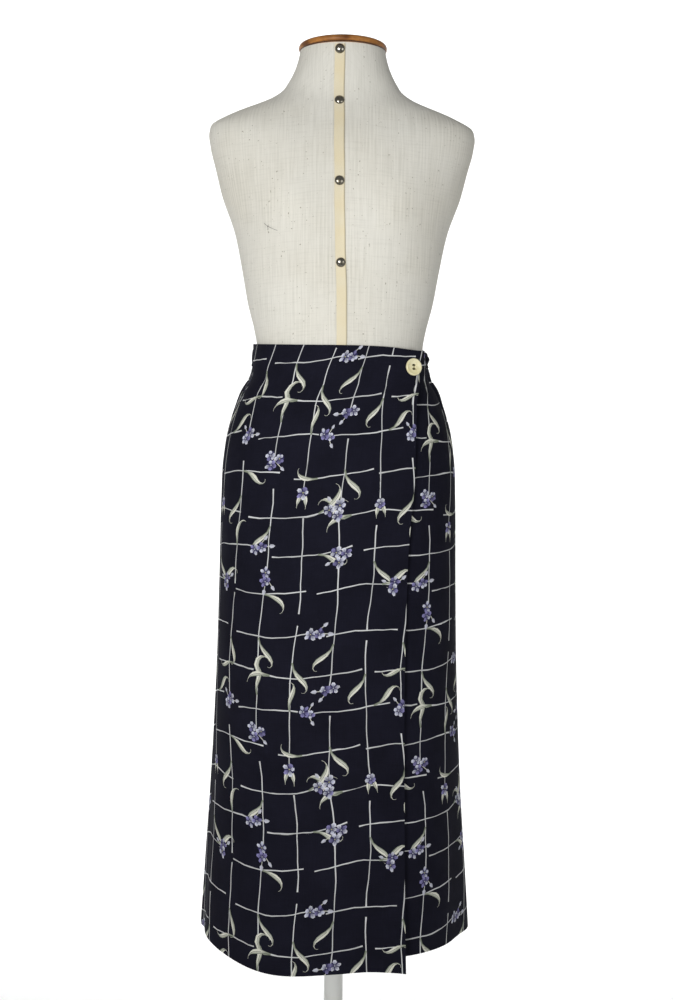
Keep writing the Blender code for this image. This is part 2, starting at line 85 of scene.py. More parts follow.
# Finer sizes, which are only in the dressed pieces
TAPE_SEAT = 1.5 * SEAM_GAP
TAPE_ROWS = 140
TAPE_COLUMNS = 9
# How the tape wanders aside: depth, waves and shift
TAPE_WANDERS = ((0.00035, 31, 0), (0.0002, 83, 1))
TAPE_PUFF = 0.0002
STUD_RISE = 0.0032
STUD_SUNK = 0.25 * STUD_RISE
STUD_COUNT = 4
CAP_RISE = 0.0013
# The cap's rounding and inset are shares of its half height and half width
CAP_ROUNDING = 0.92
CAP_INSET = 0.45
CAP_CROWN = 0.0012
CAP_SEAT = 0.0006
# The button's dished face: how far each step goes in, in radii, and down, in thicknesses
BUTTON_STEPS = ((0.16, 0.0), (0.16, 0.30), (0.20, 0.06))
BUTTON_ROUNDING = 0.42
HOLE_ROUNDING = 0.00022
STRAND_RADIUS = 0.00024
STRAND_OFFSETS = (-0.0004, 0.0001)
STRAND_STEPS = 18
STRAND_CORNERS = 7
# The strands' lowest and highest places, in thicknesses of the button, and how round their arch is
STRAND_LOW = 0.15
STRAND_TOP = 0.62
STRAND_ARCH = 0.35
# The sewing thread's loose end: aside in metres, down in half spacings, and 0 in the hole or 1 on top
LOOSE_END_ROWS = ((0.0006, -1.0, 0), (0.0010, -1.1, 1), (0.0020, -1.5, 1), (0.0034, -1.6, 1))
# Discs of the stand: piece, node, how far its top edge is rounded, and corners
STAND_DISCS = (("round_base", "base", 0.006, 144), ("steel_pole", "pole", 0.0004, 64))
FOOT_ROUNDING = 0.001
COLLAR_STEPS = 72
# Edges that turn by more degrees than this stay sharp
CLOTH_EDGE = 50
DOME_EDGE = 40
TURNED_EDGE = 35
# Points closer than this lie at the same level
NEAR = 1e-5
HALVINGS = 16
SLOPE_STEP = 0.004
# Lights: where each stands, how wide it is and what it looks at
LIGHTS = {
    "key": ((-1.15, -2.75, 1.15), 1.1, (0, 0, 1.09)),
    "fill": ((2.0, -2.3, 0.95), 1.8, (0, 0, 1.09)),
    "wash": ((0, 1.0, 3.0), 4.0, (0, 4.3, 1.4)),
}
FLOOR_HALF_WIDTH = 7.0
FLOOR_FRONT = -6.0
FLOOR_BACK = 3.0
SWEEP_RADIUS = 1.5
SWEEP_STEPS = 12
BACKDROP_TOP = 7.0

# The body line of the skirt: drop, half width, depth in front of and behind the pole
SKIRT_SECTIONS = (
    (0.000, 0.1215, 0.0935, 0.0900),
    (0.030, 0.1243, 0.0940, 0.0915),
    (0.050, 0.1272, 0.0950, 0.0950),
    (0.068, 0.1380, 0.0975, 0.1040),
    (0.090, 0.1470, 0.1010, 0.1130),
    (0.125, 0.1585, 0.1060, 0.1250),
    (0.165, 0.1652, 0.1110, 0.1350),
    (0.220, 0.1678, 0.1160, 0.1410),
    (0.330, 0.1702, 0.1250, 0.1450),
    (0.450, 0.1735, 0.1370, 0.1490),
    (0.600, 0.1805, 0.1520, 0.1560),
    (0.750, 0.1900, 0.1680, 0.1660),
    (0.880, 0.1985, 0.1820, 0.1755),
)
# Drop, turns of the left and right side seams, the free edge's distance from the centre front
EDGE_ROWS = (
    (0.000, -83.0, 76.0, 0.1060),
    (0.060, -81.0, 80.0, 0.1015),
    (0.130, -86.0, 88.0, 0.1035),
    (0.190, -88.0, 90.0, 0.1030),
    (0.260, -89.0, 91.0, 0.0972),
    (0.430, -90.0, 91.0, 0.0926),
    (0.670, -90.0, 91.0, 0.0935),
    (0.820, -90.0, 91.0, 0.0944),
    (0.870, -90.0, 91.0, 0.0945),
)
UNDERLAP_END = -42.0
# The underlap has no creases up to this many degrees beyond the free edge
UNCREASED = 4.0
UNCREASED_GROWTH = 8.0
# Turn, top and hem of each layer
OVERLAP_RIMS = (
    (-90.0, 0.0000, 0.8550),
    (-70.0, 0.0000, 0.8468),
    (-50.0, 0.0000, 0.8562),
    (-25.0, 0.0000, 0.8660),
    (0.0, 0.0000, 0.8600),
    (15.0, 0.0003, 0.8565),
    (24.0, 0.0010, 0.8590),
    (33.0, 0.0020, 0.8640),
    (50.0, 0.0060, 0.8640),
    (70.0, 0.0085, 0.8640),
)
UNDERLAP_RIMS = (
    (-45.0, 0.0020, 0.8340),
    (0.0, 0.0025, 0.8370),
    (30.0, 0.0050, 0.8430),
    (50.0, 0.0083, 0.8442),
    (70.0, 0.0115, 0.8438),
    (92.0, 0.0110, 0.8520),
)
BACK_HEM = 0.8535
LAYER_START = -82.0
LAYER_GROWTH = 30.0
# Drop, and how far the free edge stands off there
STAND_ROWS = (
    (0.000, 0.0105),
    (0.050, 0.0095),
    (0.120, 0.0050),
    (0.300, 0.0040),
    (0.600, 0.0050),
    (0.780, 0.0080),
    (0.870, 0.0135),
)
STAND_REACH = 30.0
# Hanging folds: turn, width, start and depth
FOLD_ROWS = (
    (-73.0, 5.0, 0.46, -0.0026),
    (-62.0, 8.0, 0.50, 0.0022),
    (-30.0, 16.0, 0.55, 0.0025),
    (62.0, 7.0, 0.52, -0.0018),
    (74.0, 8.0, 0.45, 0.0030),
    (108.0, 9.0, 0.30, -0.0090),
    (124.0, 9.0, 0.26, 0.0075),
    (141.0, 8.0, 0.22, -0.0085),
    (157.0, 9.0, 0.20, 0.0080),
    (174.0, 9.0, 0.24, -0.0095),
    (191.0, 10.0, 0.22, 0.0080),
    (208.0, 8.0, 0.25, -0.0080),
    (224.0, 9.0, 0.21, 0.0085),
    (241.0, 9.0, 0.28, -0.0090),
    (256.0, 8.0, 0.32, 0.0055),
)
GATHER_COUNT = 17
GATHER_DEPTH = 0.0075
GATHER_GROWTH = 0.030
GATHER_FADE = 0.085
GATHER_VARIATION = 0.25
GATHER_BEAT = 31.0
GATHER_SEAM = 0.03
FINE_GATHER_SHARE = 0.30
FINE_GATHER_COUNT = 2.4 * GATHER_COUNT
FINE_GATHER_FADE = 0.05
RUFFLE_COUNT = 27
RUFFLE_DEPTH = 0.0024
RUFFLE_AT_STITCHES = 0.45
FINE_RUFFLE_DEPTH = 0.0005
FINE_RUFFLE_COUNT = 2.7 * RUFFLE_COUNT
STITCH_LINES = (0.20, 0.82)
STITCH_WIDTH = 0.07
STITCH_DEPTH = 0.0008
BAND_END = 0.02
SWELL_START = 0.12
SWELL_SPAN = 0.80
PUFF_TURN = 83.0
PUFF_WIDTH = 7.0
PUFF_DEPTH = 0.0034
# The elastic's stitch line nips its puff in beside the button, and the cloth bulges below it
NIP_PLACE = 0.66
NIP_WIDTH = 0.13
NIP_SHARE = 0.85
BULGE_TURN = 91.0
BULGE_WIDTH = 7.0
BULGE_DROP = 0.0385
BULGE_HEIGHT = 0.0065
BULGE_DEPTH = 0.0026
BAND_DIP_END = 130.0
BAND_DIP_GROWTH = 45.0
UNEVEN_SHARE = 0.30
UNEVEN_BEAT = 2.3
UNEVEN_START = 1.1
# The torso: height, half width, depths in front and behind, squareness
FORM_SECTIONS = (
    (-0.286, 0.1400, 0.0940, 0.1060, 2.1),
    (-0.276, 0.1500, 0.1015, 0.1180, 2.1),
    (-0.240, 0.1590, 0.1070, 0.1290, 2.1),
    (-0.190, 0.1635, 0.1098, 0.1345, 2.12),
    (-0.150, 0.1616, 0.1073, 0.1295, 2.15),
    (-0.115, 0.1540, 0.1027, 0.1200, 2.15),
    (-0.090, 0.1453, 0.0994, 0.1112, 2.15),
    (-0.068, 0.1360, 0.0960, 0.1020, 2.15),
    (-0.050, 0.1254, 0.0934, 0.0930, 2.15),
    (-0.030, 0.1203, 0.0923, 0.0898, 2.15),
    (-0.006, 0.1186, 0.0919, 0.0884, 2.15),
    (0.020, 0.1228, 0.0925, 0.0895, 2.15),
    (0.055, 0.1315, 0.0955, 0.0930, 2.15),
    (0.106, 0.1405, 0.1000, 0.0985, 2.2),
    (0.157, 0.1510, 0.1040, 0.1030, 2.2),
    (0.208, 0.1690, 0.1060, 0.1080, 2.25),
    (0.241, 0.1772, 0.1030, 0.1100, 2.35),
    (0.275, 0.1856, 0.0940, 0.1080, 2.5),
    (0.294, 0.1871, 0.0860, 0.1030, 2.5),
    (0.306, 0.1822, 0.0795, 0.0985, 2.4),
    (0.3155, 0.1655, 0.0745, 0.0945, 2.3),
    (0.3245, 0.1462, 0.0700, 0.0900, 2.2),
    (0.3330, 0.1240, 0.0660, 0.0855, 2.1),
    (0.3415, 0.1034, 0.0632, 0.0810, 2.0),
    (0.3510, 0.0876, 0.0612, 0.0765, 2.0),
    (0.3660, 0.0760, 0.0602, 0.0715, 2.0),
    (0.3830, 0.0672, 0.0602, 0.0682, 2.0),
    (0.4000, 0.0618, 0.0608, 0.0658, 2.0),
    (0.4090, 0.0600, 0.0610, 0.0642, 2.0),
)
SHOULDER_SLOPE = 0.012
SHOULDER_BOTTOM = 0.220
SHOULDER_GROWTH = 0.080
NECK_BOTTOM = 0.340
BUST_RISE = 0.0180
BUST_HEIGHT = 0.178
BUST_FROM_CENTRE = 0.078
BUST_ACROSS = 0.042
BUST_UP = 0.048
# The cover's side and back seams pull in a little
COVER_SEAMS = (90.0, 180.0, 270.0)
COVER_SEAM_WIDTH = 1.3
COVER_SEAM_SINK = 0.0007
CREASE_END = 0.35
PULL_SLANT = 0.5

# Soft creases laid over the folds: turn, drop where it starts and ends, half width in degrees,
# depth, and how many degrees it leans from its top to its bottom
CREASE_ROWS = (
    (-58.0, 0.100, 0.330, 5.0, -0.0007, 6.0),
    (-36.0, 0.060, 0.250, 6.0, 0.0006, 9.0),
    (-14.0, 0.180, 0.520, 7.0, -0.0006, -5.0),
    (8.0, 0.090, 0.300, 6.0, 0.0005, 7.0),
    (-48.0, 0.420, 0.840, 6.5, 0.0009, 3.0),
    (-4.0, 0.520, 0.860, 8.0, -0.0010, -4.0),
    (20.0, 0.560, 0.860, 6.0, 0.0008, 2.0),
    (52.0, 0.080, 0.340, 4.0, -0.0008, 5.0),
    (66.0, 0.060, 0.260, 3.5, 0.0009, 6.0),
    (58.0, 0.380, 0.800, 5.0, 0.0008, -3.0),
    (82.0, 0.300, 0.840, 4.5, -0.0012, 3.0),
    (116.0, 0.110, 0.520, 3.0, 0.0014, 4.0),
    (133.0, 0.090, 0.400, 2.6, -0.0013, -3.0),
    (149.0, 0.120, 0.620, 3.2, 0.0015, 3.0),
    (166.0, 0.080, 0.360, 2.5, -0.0012, 2.0),
    (183.0, 0.130, 0.560, 3.0, 0.0014, -3.0),
    (199.0, 0.090, 0.440, 2.8, -0.0014, 3.0),
    (216.0, 0.110, 0.600, 3.1, 0.0013, -4.0),
    (233.0, 0.080, 0.380, 2.6, -0.0012, 3.0),
    (249.0, 0.140, 0.580, 3.0, 0.0012, -2.0),
)
# Small pulled gathers where the back's elastic meets the left side seam: turn, drop, half size
# across in degrees and down in metres, depth
PULL_ROWS = (
    (-78.5, 0.052, 2.2, 0.0045, -0.0046),
    (-75.0, 0.060, 2.0, 0.0038, -0.0034),
    (-79.0, 0.066, 2.4, 0.0042, -0.0048),
    (-73.0, 0.074, 2.6, 0.0050, -0.0024),
    (-80.0, 0.081, 2.2, 0.0045, -0.0036),
)
SEAM_SINK = 0.0009
SEAM_SINK_WIDTH = 0.0030
SEAM_SINK_GROWTH = 0.05

# How the cloth's threads run: the weft rises to the right, and the front is eased in at the waist
WEFT_RISE_ROWS = ((0.000, 0.055), (0.250, 0.045), (0.500, 0.032), (0.870, 0.026))
EASE_ROWS = ((0.000, 1.19), (0.070, 1.13), (0.150, 1.06), (0.230, 1.015), (0.320, 1.00), (0.870, 1.00))
BACK_CUT_WIDTH = 0.590
# Even steps across each panel, and closer ones by its seams and its free edge
PANEL_STEPS = {"front_overlap": 50, "front_underlap": 52, "back_panel": 126, "elastic_waistband": 330}
SEAM_STEPS = (0.004, 0.008, 0.012)
FREE_EDGE_STEPS = (0.994, 0.988)
# The finer mesh at the small pulled gathers: from, to and how many, across and down
PULL_COLUMNS = (0.005, 0.13, 14)
PULL_LEVELS = (0.042, 0.100, 26)
# The small gathers end here, and below them the back's mesh is coarser
GATHERS_END = 0.12
GATHERED_LEVELS = 21
HANGING_STEP = 0.011
BAND_LEVELS = 15
# The bake map: its margin and height, then the left edge and width of the face and the wrong side
MAP_EDGE = 0.004
MAP_HEIGHT = 0.992
FACE_MAP = (0.004, 0.630)
WRONG_SIDE_MAP = (0.640, 0.315)

# A loose thread on the chest: turn and height over the waist along each of its runs
LOOSE_THREAD_RUNS = (
    ((-41.4, 0.1634), (-39.8, 0.1603), (-37.2, 0.1566), (-34.0, 0.1535)),
    ((-39.8, 0.1603), (-39.6, 0.1575), (-39.9, 0.1546)),
)

# The print's repeat, in millimetres: x to the right, y down
REPEAT = (256.0, 380.0)
# Stems: start and end, how far they sway aside, and whether each end is cut or hidden by a flower
STEM_ROWS = (
    (24, -37, 17, 163, 3, "cut", "flower"),
    (22, 202, 26, 326, -3, "cut", "flower"),
    (74, 11, 67, 208, 4, "cut", "flower"),
    (72, 243, 76, 375, -3, "cut", "cut"),
    (128, -65, 120, 102, -3, "cut", "flower"),
    (122, 137, 128, 299, 4, "cut", "flower"),
    (170, 37, 177, 228, 3, "cut", "flower"),
    (176, 258, 170, 404, -3, "cut", "cut"),
    (228, -26, 220, 130, 4, "cut", "flower"),
    (221, 165, 227, 341, -4, "cut", "cut"),
    (-22, 29, 100, 22, 3, "cut", "flower"),
    (115, 27, 213, 23, -2, "cut", "cut"),
    (37, 82, 165, 76, 4, "cut", "cut"),
    (182, 81, 267, 76, -2, "cut", "cut"),
    (-15, 135, 78, 129, -3, "cut", "cut"),
    (91, 132, 204, 124, 3, "flower", "cut"),
    (50, 189, 163, 180, 3, "cut", "cut"),
    (171, 186, 284, 180, -4, "cut", "cut"),
    (-11, 243, 115, 234, 4, "cut", "flower"),
    (139, 242, 230, 238, -3, "cut", "cut"),
    (33, 296, 145, 286, 4, "cut", "cut"),
    (161, 293, 267, 284, -3, "cut", "flower"),
    (-26, 349, 85, 343, 3, "cut", "cut"),
    (100, 349, 206, 340, -4, "cut", "flower"),
)
# Leaves: the stem they leave and how far along it, degrees off its direction, length, width, the
# even bend and the hook at the tip, in degrees
LEAF_ROWS = (
    (0, 0.34, -8, 54, 6.2, -118, 262),
    (0, 0.74, 160, 48, 5.8, 108, -236),
    (1, 0.42, 8, 54, 6.2, 124, -268),
    (2, 0.26, -10, 56, 6.6, -112, 258),
    (2, 0.60, 162, 47, 5.8, 104, -218),
    (2, 0.98, 24, 26, 5.4, -12, -18),
    (2, 0.98, -20, 28, 5.6, 10, 13),
    (4, 0.62, 8, 53, 6.2, 120, -252),
    (5, 0.26, -8, 58, 6.8, -126, 272),
    (5, 0.64, 160, 46, 6.0, -42, -123),
    (6, 0.24, 8, 54, 6.4, 116, -252),
    (6, 0.98, 22, 25, 5.4, -10, -16),
    (6, 0.98, -24, 25, 5.4, 12, 16),
    (7, 0.34, -8, 53, 6.2, -120, 264),
    (8, 0.42, -18, 46, 6.0, -30, 157),
    (9, 0.28, 10, 56, 6.6, 116, -258),
    (9, 0.68, 164, 45, 5.8, 38, 101),
    (12, 0.00, 150, 62, 7.0, 225, 56),
    (12, 0.00, 186, 44, 6.3, -48, -56),
    (19, 0.00, 146, 60, 6.8, 220, 56),
    (19, 0.00, 188, 43, 6.3, -50, -56),
    (13, 0.55, 190, 44, 5.6, -98, 224),
    (15, 0.80, -6, 52, 7.0, -116, 244),
    (16, 0.30, 176, 40, 5.6, 40, 101),
    (17, 0.46, 2, 51, 6.4, 112, -240),
    (18, 0.82, -14, 55, 7.6, -44, -101),
    (20, 0.58, 2, 51, 6.2, 114, -244),
    (22, 0.44, 4, 49, 6.2, 46, 123),
    (23, 0.84, -4, 54, 7.2, -114, 232),
)
# Flowers: the stem they are on and how far along it, kind, turn in degrees, size and how full
# of colour the petals are
FLOWER_ROWS = (
    (0, 1.0, "round", 10, 1.10, 0.7),
    (1, 1.0, "sprig", 70, 1.10, 0.2),
    (2, 1.0, "single", 0, 1.10, 0.1),
    (4, 1.0, "sprig", 150, 1.05, 0.9),
    (5, 1.0, "round", 120, 1.12, 0.3),
    (6, 1.0, "single", 20, 1.05, 0.5),
    (8, 1.0, "star", 30, 1.10, 0.6),
    (10, 1.0, "sprig", -20, 1.10, 0.4),
    (15, 0.0, "star", 100, 1.00, 1.0),
    (18, 1.0, "round", 205, 1.15, 0.2),
    (21, 1.0, "sprig", -35, 1.10, 0.8),
    (23, 1.0, "star", 0, 1.12, 0.3),
)
# Florets of each kind of flower: offset in millimetres, radius and tone from 0, pale, to 1, deep
FLORETS = {
    "round": (
        (-6.8, -4.6, 7.2, 0.75),
        (6.4, -3.2, 7.4, 0.10),
        (-2.4, 6.6, 7.8, 0.30),
    ),
    "sprig": (
        (-6.2, -0.6, 7.4, 0.15),
        (4.4, 3.0, 7.0, 0.60),
    ),
    "star": (
        (0.4, -4.2, 7.0, 0.85),
        (-1.6, 5.2, 7.6, 0.20),
    ),
    "single": ((0.0, 0.0, 8.0, 0.30),),
}
# Buds on stalks: offset of the bud, in millimetres, and its radius
BUDS = {
    "round": ((13.6, 7.8, 2.8),),
    "sprig": ((16.4, 8.4, 3.4), (14.4, -4.6, 3.0)),
    "star": ((11.4, -9.2, 3.0), (-12.4, -4.4, 2.6)),
    "single": (),
}
PETALS = 5
# A petal's outline, in radii of the flower: along it, aside, and how bright its rim is there
PETAL_ROWS = (
    (0.14, 0.00, 0.14),
    (0.62, 0.36, 0.84),
    (0.98, 0.21, 1.00),
    (1.02, -0.17, 0.94),
    (0.64, -0.36, 0.70),
)
STEM_STEP = 10.0
# Stems waver by millimetres, with radians of wave from end to end
STEM_WAVERS = ((0.7, 9.0), (0.35, 23.0))
STEM_FLARE = 0.40
STEM_FLARE_LENGTH = 2.6
# How bright a stem is on its two sides and its middle: at its darkest, and what it gains
STEM_TONES = ((0.36, 0.20), (0.45, 0.35), (1.12, 0.22))
LEAF_STEPS = 9
# A leaf's steps crowd to its tip, its hook comes late, and its blade starts and ends short of both ends
LEAF_CROWDING = 1.6
LEAF_HOOKING = 4.2
BLADE_START = 0.05
BLADE_LENGTH = 0.83
BLADE_LEAN = 1.2
BLADE_SLIMNESS = 1.5
BLADE_SHARE = 0.46
# A leaf's stalk: how much wider it is at its foot, and its own half width, in millimetres
LEAF_FOOT = 0.8
LEAF_STALK = 0.46
VEIN = 0.32
# A bud's outline, in radii of the bud: along its stalk and aside
BUD_ROWS = ((-1.0, 0.0), (-0.2, 0.75), (0.9, 0.55), (1.6, 0.0), (0.9, -0.55), (-0.2, -0.75))
STALK_POINTS = 5
PRINT_SEED = 11
PRINT_REACH = 0.12
PRINT_START = {
    "front_overlap": (0.031, -0.014),
    "front_underlap": (0.012, 0.048),
    "back_panel": (0.070, 0.030),
    "elastic_waistband": (0.070, 0.030),
}


def rows_at(rows, at):
    """The table's columns at these values of its first one, on a smooth curve through the rows."""
    table = np.asarray(rows, float)
    keys = table[:, 0]
    at = np.clip(np.asarray(at, float), keys[0], keys[-1])
    slopes = np.gradient(table, keys, axis=0)
    low = np.clip(np.searchsorted(keys, at) - 1, 0, len(keys) - 2)
    step = (keys[low + 1] - keys[low])[..., None]
    t = (at - keys[low])[..., None] / step
    value = (
        (2 * t**3 - 3 * t**2 + 1) * table[low]
        + (t**3 - 2 * t**2 + t) * step * slopes[low]
        + (3 * t**2 - 2 * t**3) * table[low + 1]
        + (t**3 - t**2) * step * slopes[low + 1]
    )
    return np.moveaxis(value, -1, 0)


def ease(t):
    """Rises smoothly from 0 to 1."""
    t = np.clip(t, 0.0, 1.0)
    return t * t * (3 - 2 * t)


def hump(away):
    """A soft rise of 1 that fades on both sides of 0."""
    return np.exp(-(away**2))


def halved(low, high, short):
    """The values between low and high where a test turns false, found by halving."""
    for _ in range(HALVINGS):
        middle = (low + high) / 2
        passed = short(middle)
        low = np.where(passed, middle, low)
        high = np.where(passed, high, middle)
    return low


def ring_point(turn, half_width, front, back, squareness):
    """Points of a rounded section, in plan."""
    across = np.sin(np.radians(turn))
    ahead = np.cos(np.radians(turn))
    reach = (np.abs(across) ** squareness + np.abs(ahead) ** squareness) ** (-1 / squareness)
    depth = np.where(ahead > 0, front, back)
    return half_width * across * reach, -depth * ahead * reach


def skirt_point(turn, drop, lift):
    """Points of the cloth, this far outside the body line."""
    turn, drop, lift = np.broadcast_arrays(turn, drop, lift)
    half_width, front, back = rows_at(SKIRT_SECTIONS, drop)[1:]
    section = (half_width, front, back, SKIRT_SQUARENESS)
    x, y = ring_point(turn, *section)
    x_after, y_after = ring_point(turn + 1, *section)
    x_before, y_before = ring_point(turn - 1, *section)
    out_x, out_y = y_after - y_before, x_before - x_after
    size = np.hypot(out_x, out_y)
    return np.stack([x + lift * out_x / size, y + lift * out_y / size, WAIST_HEIGHT - drop], -1)


def turn_of(from_centre, drop, lift):
    """The turns, in the right half of the front, at this distance from the centre front."""
    side = np.full_like(drop, 89.0)
    return halved(0 * side, side, lambda turn: skirt_point(turn, drop, lift)[..., 0] < from_centre)


def fold_lift(turn, drop):
    """The hanging folds, which all layers share."""
    lift = np.zeros_like(drop)
    for centre, width, start, depth in FOLD_ROWS:
        reach = ease((drop - start) / (SKIRT_LENGTH - start))
        lift = lift + depth * hump((turn - centre) / width) * reach
    return lift


def crease_lift(turn, drop):
    """Soft creases and the small pulled gathers by the left side seam."""
    lift = np.zeros_like(drop)
    for centre, start, end, width, depth, lean in CREASE_ROWS:
        t = (drop - start) / (end - start)
        along = ease(t / CREASE_END) * ease((1 - t) / CREASE_END)
        lift = lift + depth * hump((turn - centre - lean * (t - 0.5)) / width) * along
    for centre, middle, across, down, depth in PULL_ROWS:
        below = (drop - middle) / down
        lift = lift + depth * hump((turn - centre) / across - PULL_SLANT * below) * hump(below)
    return lift


def between_rims(rims, turn, level):
    """The drop of a level of the skirt, fitted between a layer's top and its hem at this turn."""
    top, hem = rows_at(rims, turn)[1:]
    return top + level * (hem - top) / SKIRT_LENGTH


def edge_turn_at(level):
    free_edge = rows_at(EDGE_ROWS, level)[3]
    return turn_of(free_edge, level, LAYER_LIFT)


def free_edge_share(level):
    """How far across the underlap the free edge lies."""
    right_seam = float(rows_at(EDGE_ROWS, level)[2])
    edge_turn = float(edge_turn_at(np.array([level]))[0])
    return (edge_turn - UNDERLAP_END) / (right_seam - UNDERLAP_END)


def seam_sink(away, drop, below):
    """The cloth sinks a little where a seam, this many degrees away, pulls it in."""
    from_seam = np.radians(away) * rows_at(SKIRT_SECTIONS, drop)[1]
    return -SEAM_SINK * hump(from_seam / SEAM_SINK_WIDTH) * ease(below / SEAM_SINK_GROWTH)


def overlap_place(u, level):
    """The inner face of the overlap: u runs from the side seam to the free edge."""
    left_seam = rows_at(EDGE_ROWS, level)[1]
    edge_turn = edge_turn_at(level)
    turn = left_seam + u * (edge_turn - left_seam)
    drop = between_rims(OVERLAP_RIMS, turn, level)
    layer = LAYER_LIFT * ease((turn - LAYER_START) / LAYER_GROWTH)
    stand = rows_at(STAND_ROWS, drop)[1] * np.maximum(0.0, (turn - edge_turn) / STAND_REACH + 1) ** 2
    lift = layer + stand + fold_lift(turn, drop) + crease_lift(turn, drop)
    return skirt_point(turn, drop, lift + seam_sink(turn - left_seam, drop, level))


def underlap_place(u, level):
    """The inner face of the underlap: u runs from its hidden edge to the side seam."""
    right_seam = rows_at(EDGE_ROWS, level)[2]
    turn = UNDERLAP_END + u * (right_seam - UNDERLAP_END)
    drop = between_rims(UNDERLAP_RIMS, turn, level)
    shown = ease((turn - edge_turn_at(level) - UNCREASED) / UNCREASED_GROWTH)
    lift = fold_lift(turn, drop) + crease_lift(turn, drop) * shown
    return skirt_point(turn, drop, lift + seam_sink(right_seam - turn, drop, level))


def seam_turns(drop):
    """The turns between which the back lies, just clear of both side seams."""
    left_seam, right_seam = rows_at(EDGE_ROWS, drop)[1:3]
    clear = np.degrees(2 * SEAM_GAP / rows_at(SKIRT_SECTIONS, drop)[1])
    return right_seam + clear, left_seam + 360.0 - clear


def uneven(u, count):
    """The phase of hand-pulled gathers: count waves with a spacing that varies."""
    wander = UNEVEN_SHARE * np.sin(2 * math.pi * UNEVEN_BEAT * u + UNEVEN_START)
    return 2 * math.pi * (count * u + wander)


def bulge_lift(turn, drop):
    """The small puff just below the elastic, beside the button."""
    across = hump((turn - BULGE_TURN) / BULGE_WIDTH)
    return BULGE_DEPTH * across * hump((drop - BULGE_DROP) / BULGE_HEIGHT)


def back_place(u, level):
    """The inner face of the back: u runs from the right side seam round to the left one."""
    drop = np.maximum(level * BACK_HEM / SKIRT_LENGTH, BAND_DEPTH + 4 * SEAM_GAP)
    fall = drop - BAND_DEPTH
    first, last = seam_turns(level)
    turn = first + u * (last - first)
    rise = GATHER_DEPTH * ease(fall / GATHER_GROWTH) * np.exp(-fall / GATHER_FADE)
    rise = rise * (1 - GATHER_VARIATION * (1 - np.sin(GATHER_BEAT * u)))
    gather = rise * (0.5 - 0.5 * np.cos(uneven(u, GATHER_COUNT)))
    fine = FINE_GATHER_SHARE * rise * np.sin(uneven(u, FINE_GATHER_COUNT)) * np.exp(-fall / FINE_GATHER_FADE)
    inside = ease(np.minimum(u, 1 - u) / GATHER_SEAM)
    lift = (gather + fine + crease_lift(turn, drop)) * inside
    lift = lift + fold_lift(turn, drop) + bulge_lift(turn, drop)
    return skirt_point(turn, drop, lift + seam_sink(np.minimum(turn - first, last - turn), drop, fall))


def band_place(u, level):
    """The inner face of the elastic waistband, ruffled and puffed between its two stitch lines."""
    v = level / BAND_DEPTH
    first, last = seam_turns(level)
    turn = first + u * (last - first)
    dip = rows_at(UNDERLAP_RIMS, turn)[1]
    drop = level + dip * ease((BAND_DIP_END - turn) / BAND_DIP_GROWTH) * (1 - v)
    swell = np.sin(math.pi * (SWELL_START + SWELL_SPAN * v))
    ruffle = RUFFLE_DEPTH * (0.5 - 0.5 * np.cos(uneven(u, RUFFLE_COUNT)))
    ruffle = ruffle * (RUFFLE_AT_STITCHES + (1 - RUFFLE_AT_STITCHES) * swell)
    fine = FINE_RUFFLE_DEPTH * np.sin(uneven(u, FINE_RUFFLE_COUNT) + 2.0 * v) * (1.0 - 0.5 * swell)
    stitched = STITCH_DEPTH * sum(hump((v - line) / STITCH_WIDTH) for line in STITCH_LINES)
    puff = PUFF_DEPTH * hump((turn - PUFF_TURN) / PUFF_WIDTH) * swell**2
    nip = hump((turn - PUFF_TURN) / (2 * PUFF_WIDTH)) * hump((v - NIP_PLACE) / NIP_WIDTH)
    lift = BAND_LIFT + (ruffle + puff) * (1 - NIP_SHARE * nip) + bulge_lift(turn, drop)
    return skirt_point(turn, drop, lift + (fine - stitched) * ease(np.minimum(u, 1 - u) / BAND_END))


def form_point(turn, height):
    """Points on the torso's surface, by the height over the waist."""
    turn, height = np.broadcast_arrays(np.asarray(turn, float), np.asarray(height, float))
    half_width, front, back, squareness = rows_at(FORM_SECTIONS, height)[1:]
    x, y = ring_point(turn, half_width, front, back, squareness)
    up = (height - BUST_HEIGHT) / BUST_UP
    out = (np.abs(x) - BUST_FROM_CENTRE) / BUST_ACROSS
    y = y - BUST_RISE * np.exp(-(up * up + out * out) / 2) * (y < 0)
    neck = ease((height - NECK_BOTTOM) / (FORM_SECTIONS[-1][0] - NECK_BOTTOM))
    lean = -y * math.tan(NECK_TILT) * neck
    shoulder = ease((height - SHOULDER_BOTTOM) / SHOULDER_GROWTH) * (1 - neck)
    lean = lean - SHOULDER_SLOPE * x * shoulder
    return np.stack([x, y, WAIST_HEIGHT + height + lean], -1)


def form_front(across, height):
    """Points of the torso's front at this distance from its centre, and the outward directions."""
    across, height = np.broadcast_arrays(np.asarray(across, float), np.asarray(height, float))
    side = np.full(across.shape, 30.0)
    turn = halved(-side, side, lambda turn: form_point(turn, height)[..., 0] < across)
    up = form_point(turn, height + SLOPE_STEP) - form_point(turn, height - SLOPE_STEP)
    right = form_point(turn + 1, height) - form_point(turn - 1, height)
    normal = np.cross(right, up)
    return form_point(turn, height), normal / np.linalg.norm(normal, axis=-1, keepdims=True)


def turned(degrees, along, aside=0.0):
    """A step along and aside in the flat cloth, turned by this much."""
    turn = math.radians(degrees)
    c, s = math.cos(turn), math.sin(turn)
    return np.stack([c * along - s * aside, s * along + c * aside], -1)


def tape_centre(height):
    drift = ease(np.asarray(height) / TAPE_STRAIGHT_FROM)
    return TAPE_WAIST_OFFSET + (TAPE_NECK_OFFSET - TAPE_WAIST_OFFSET) * drift


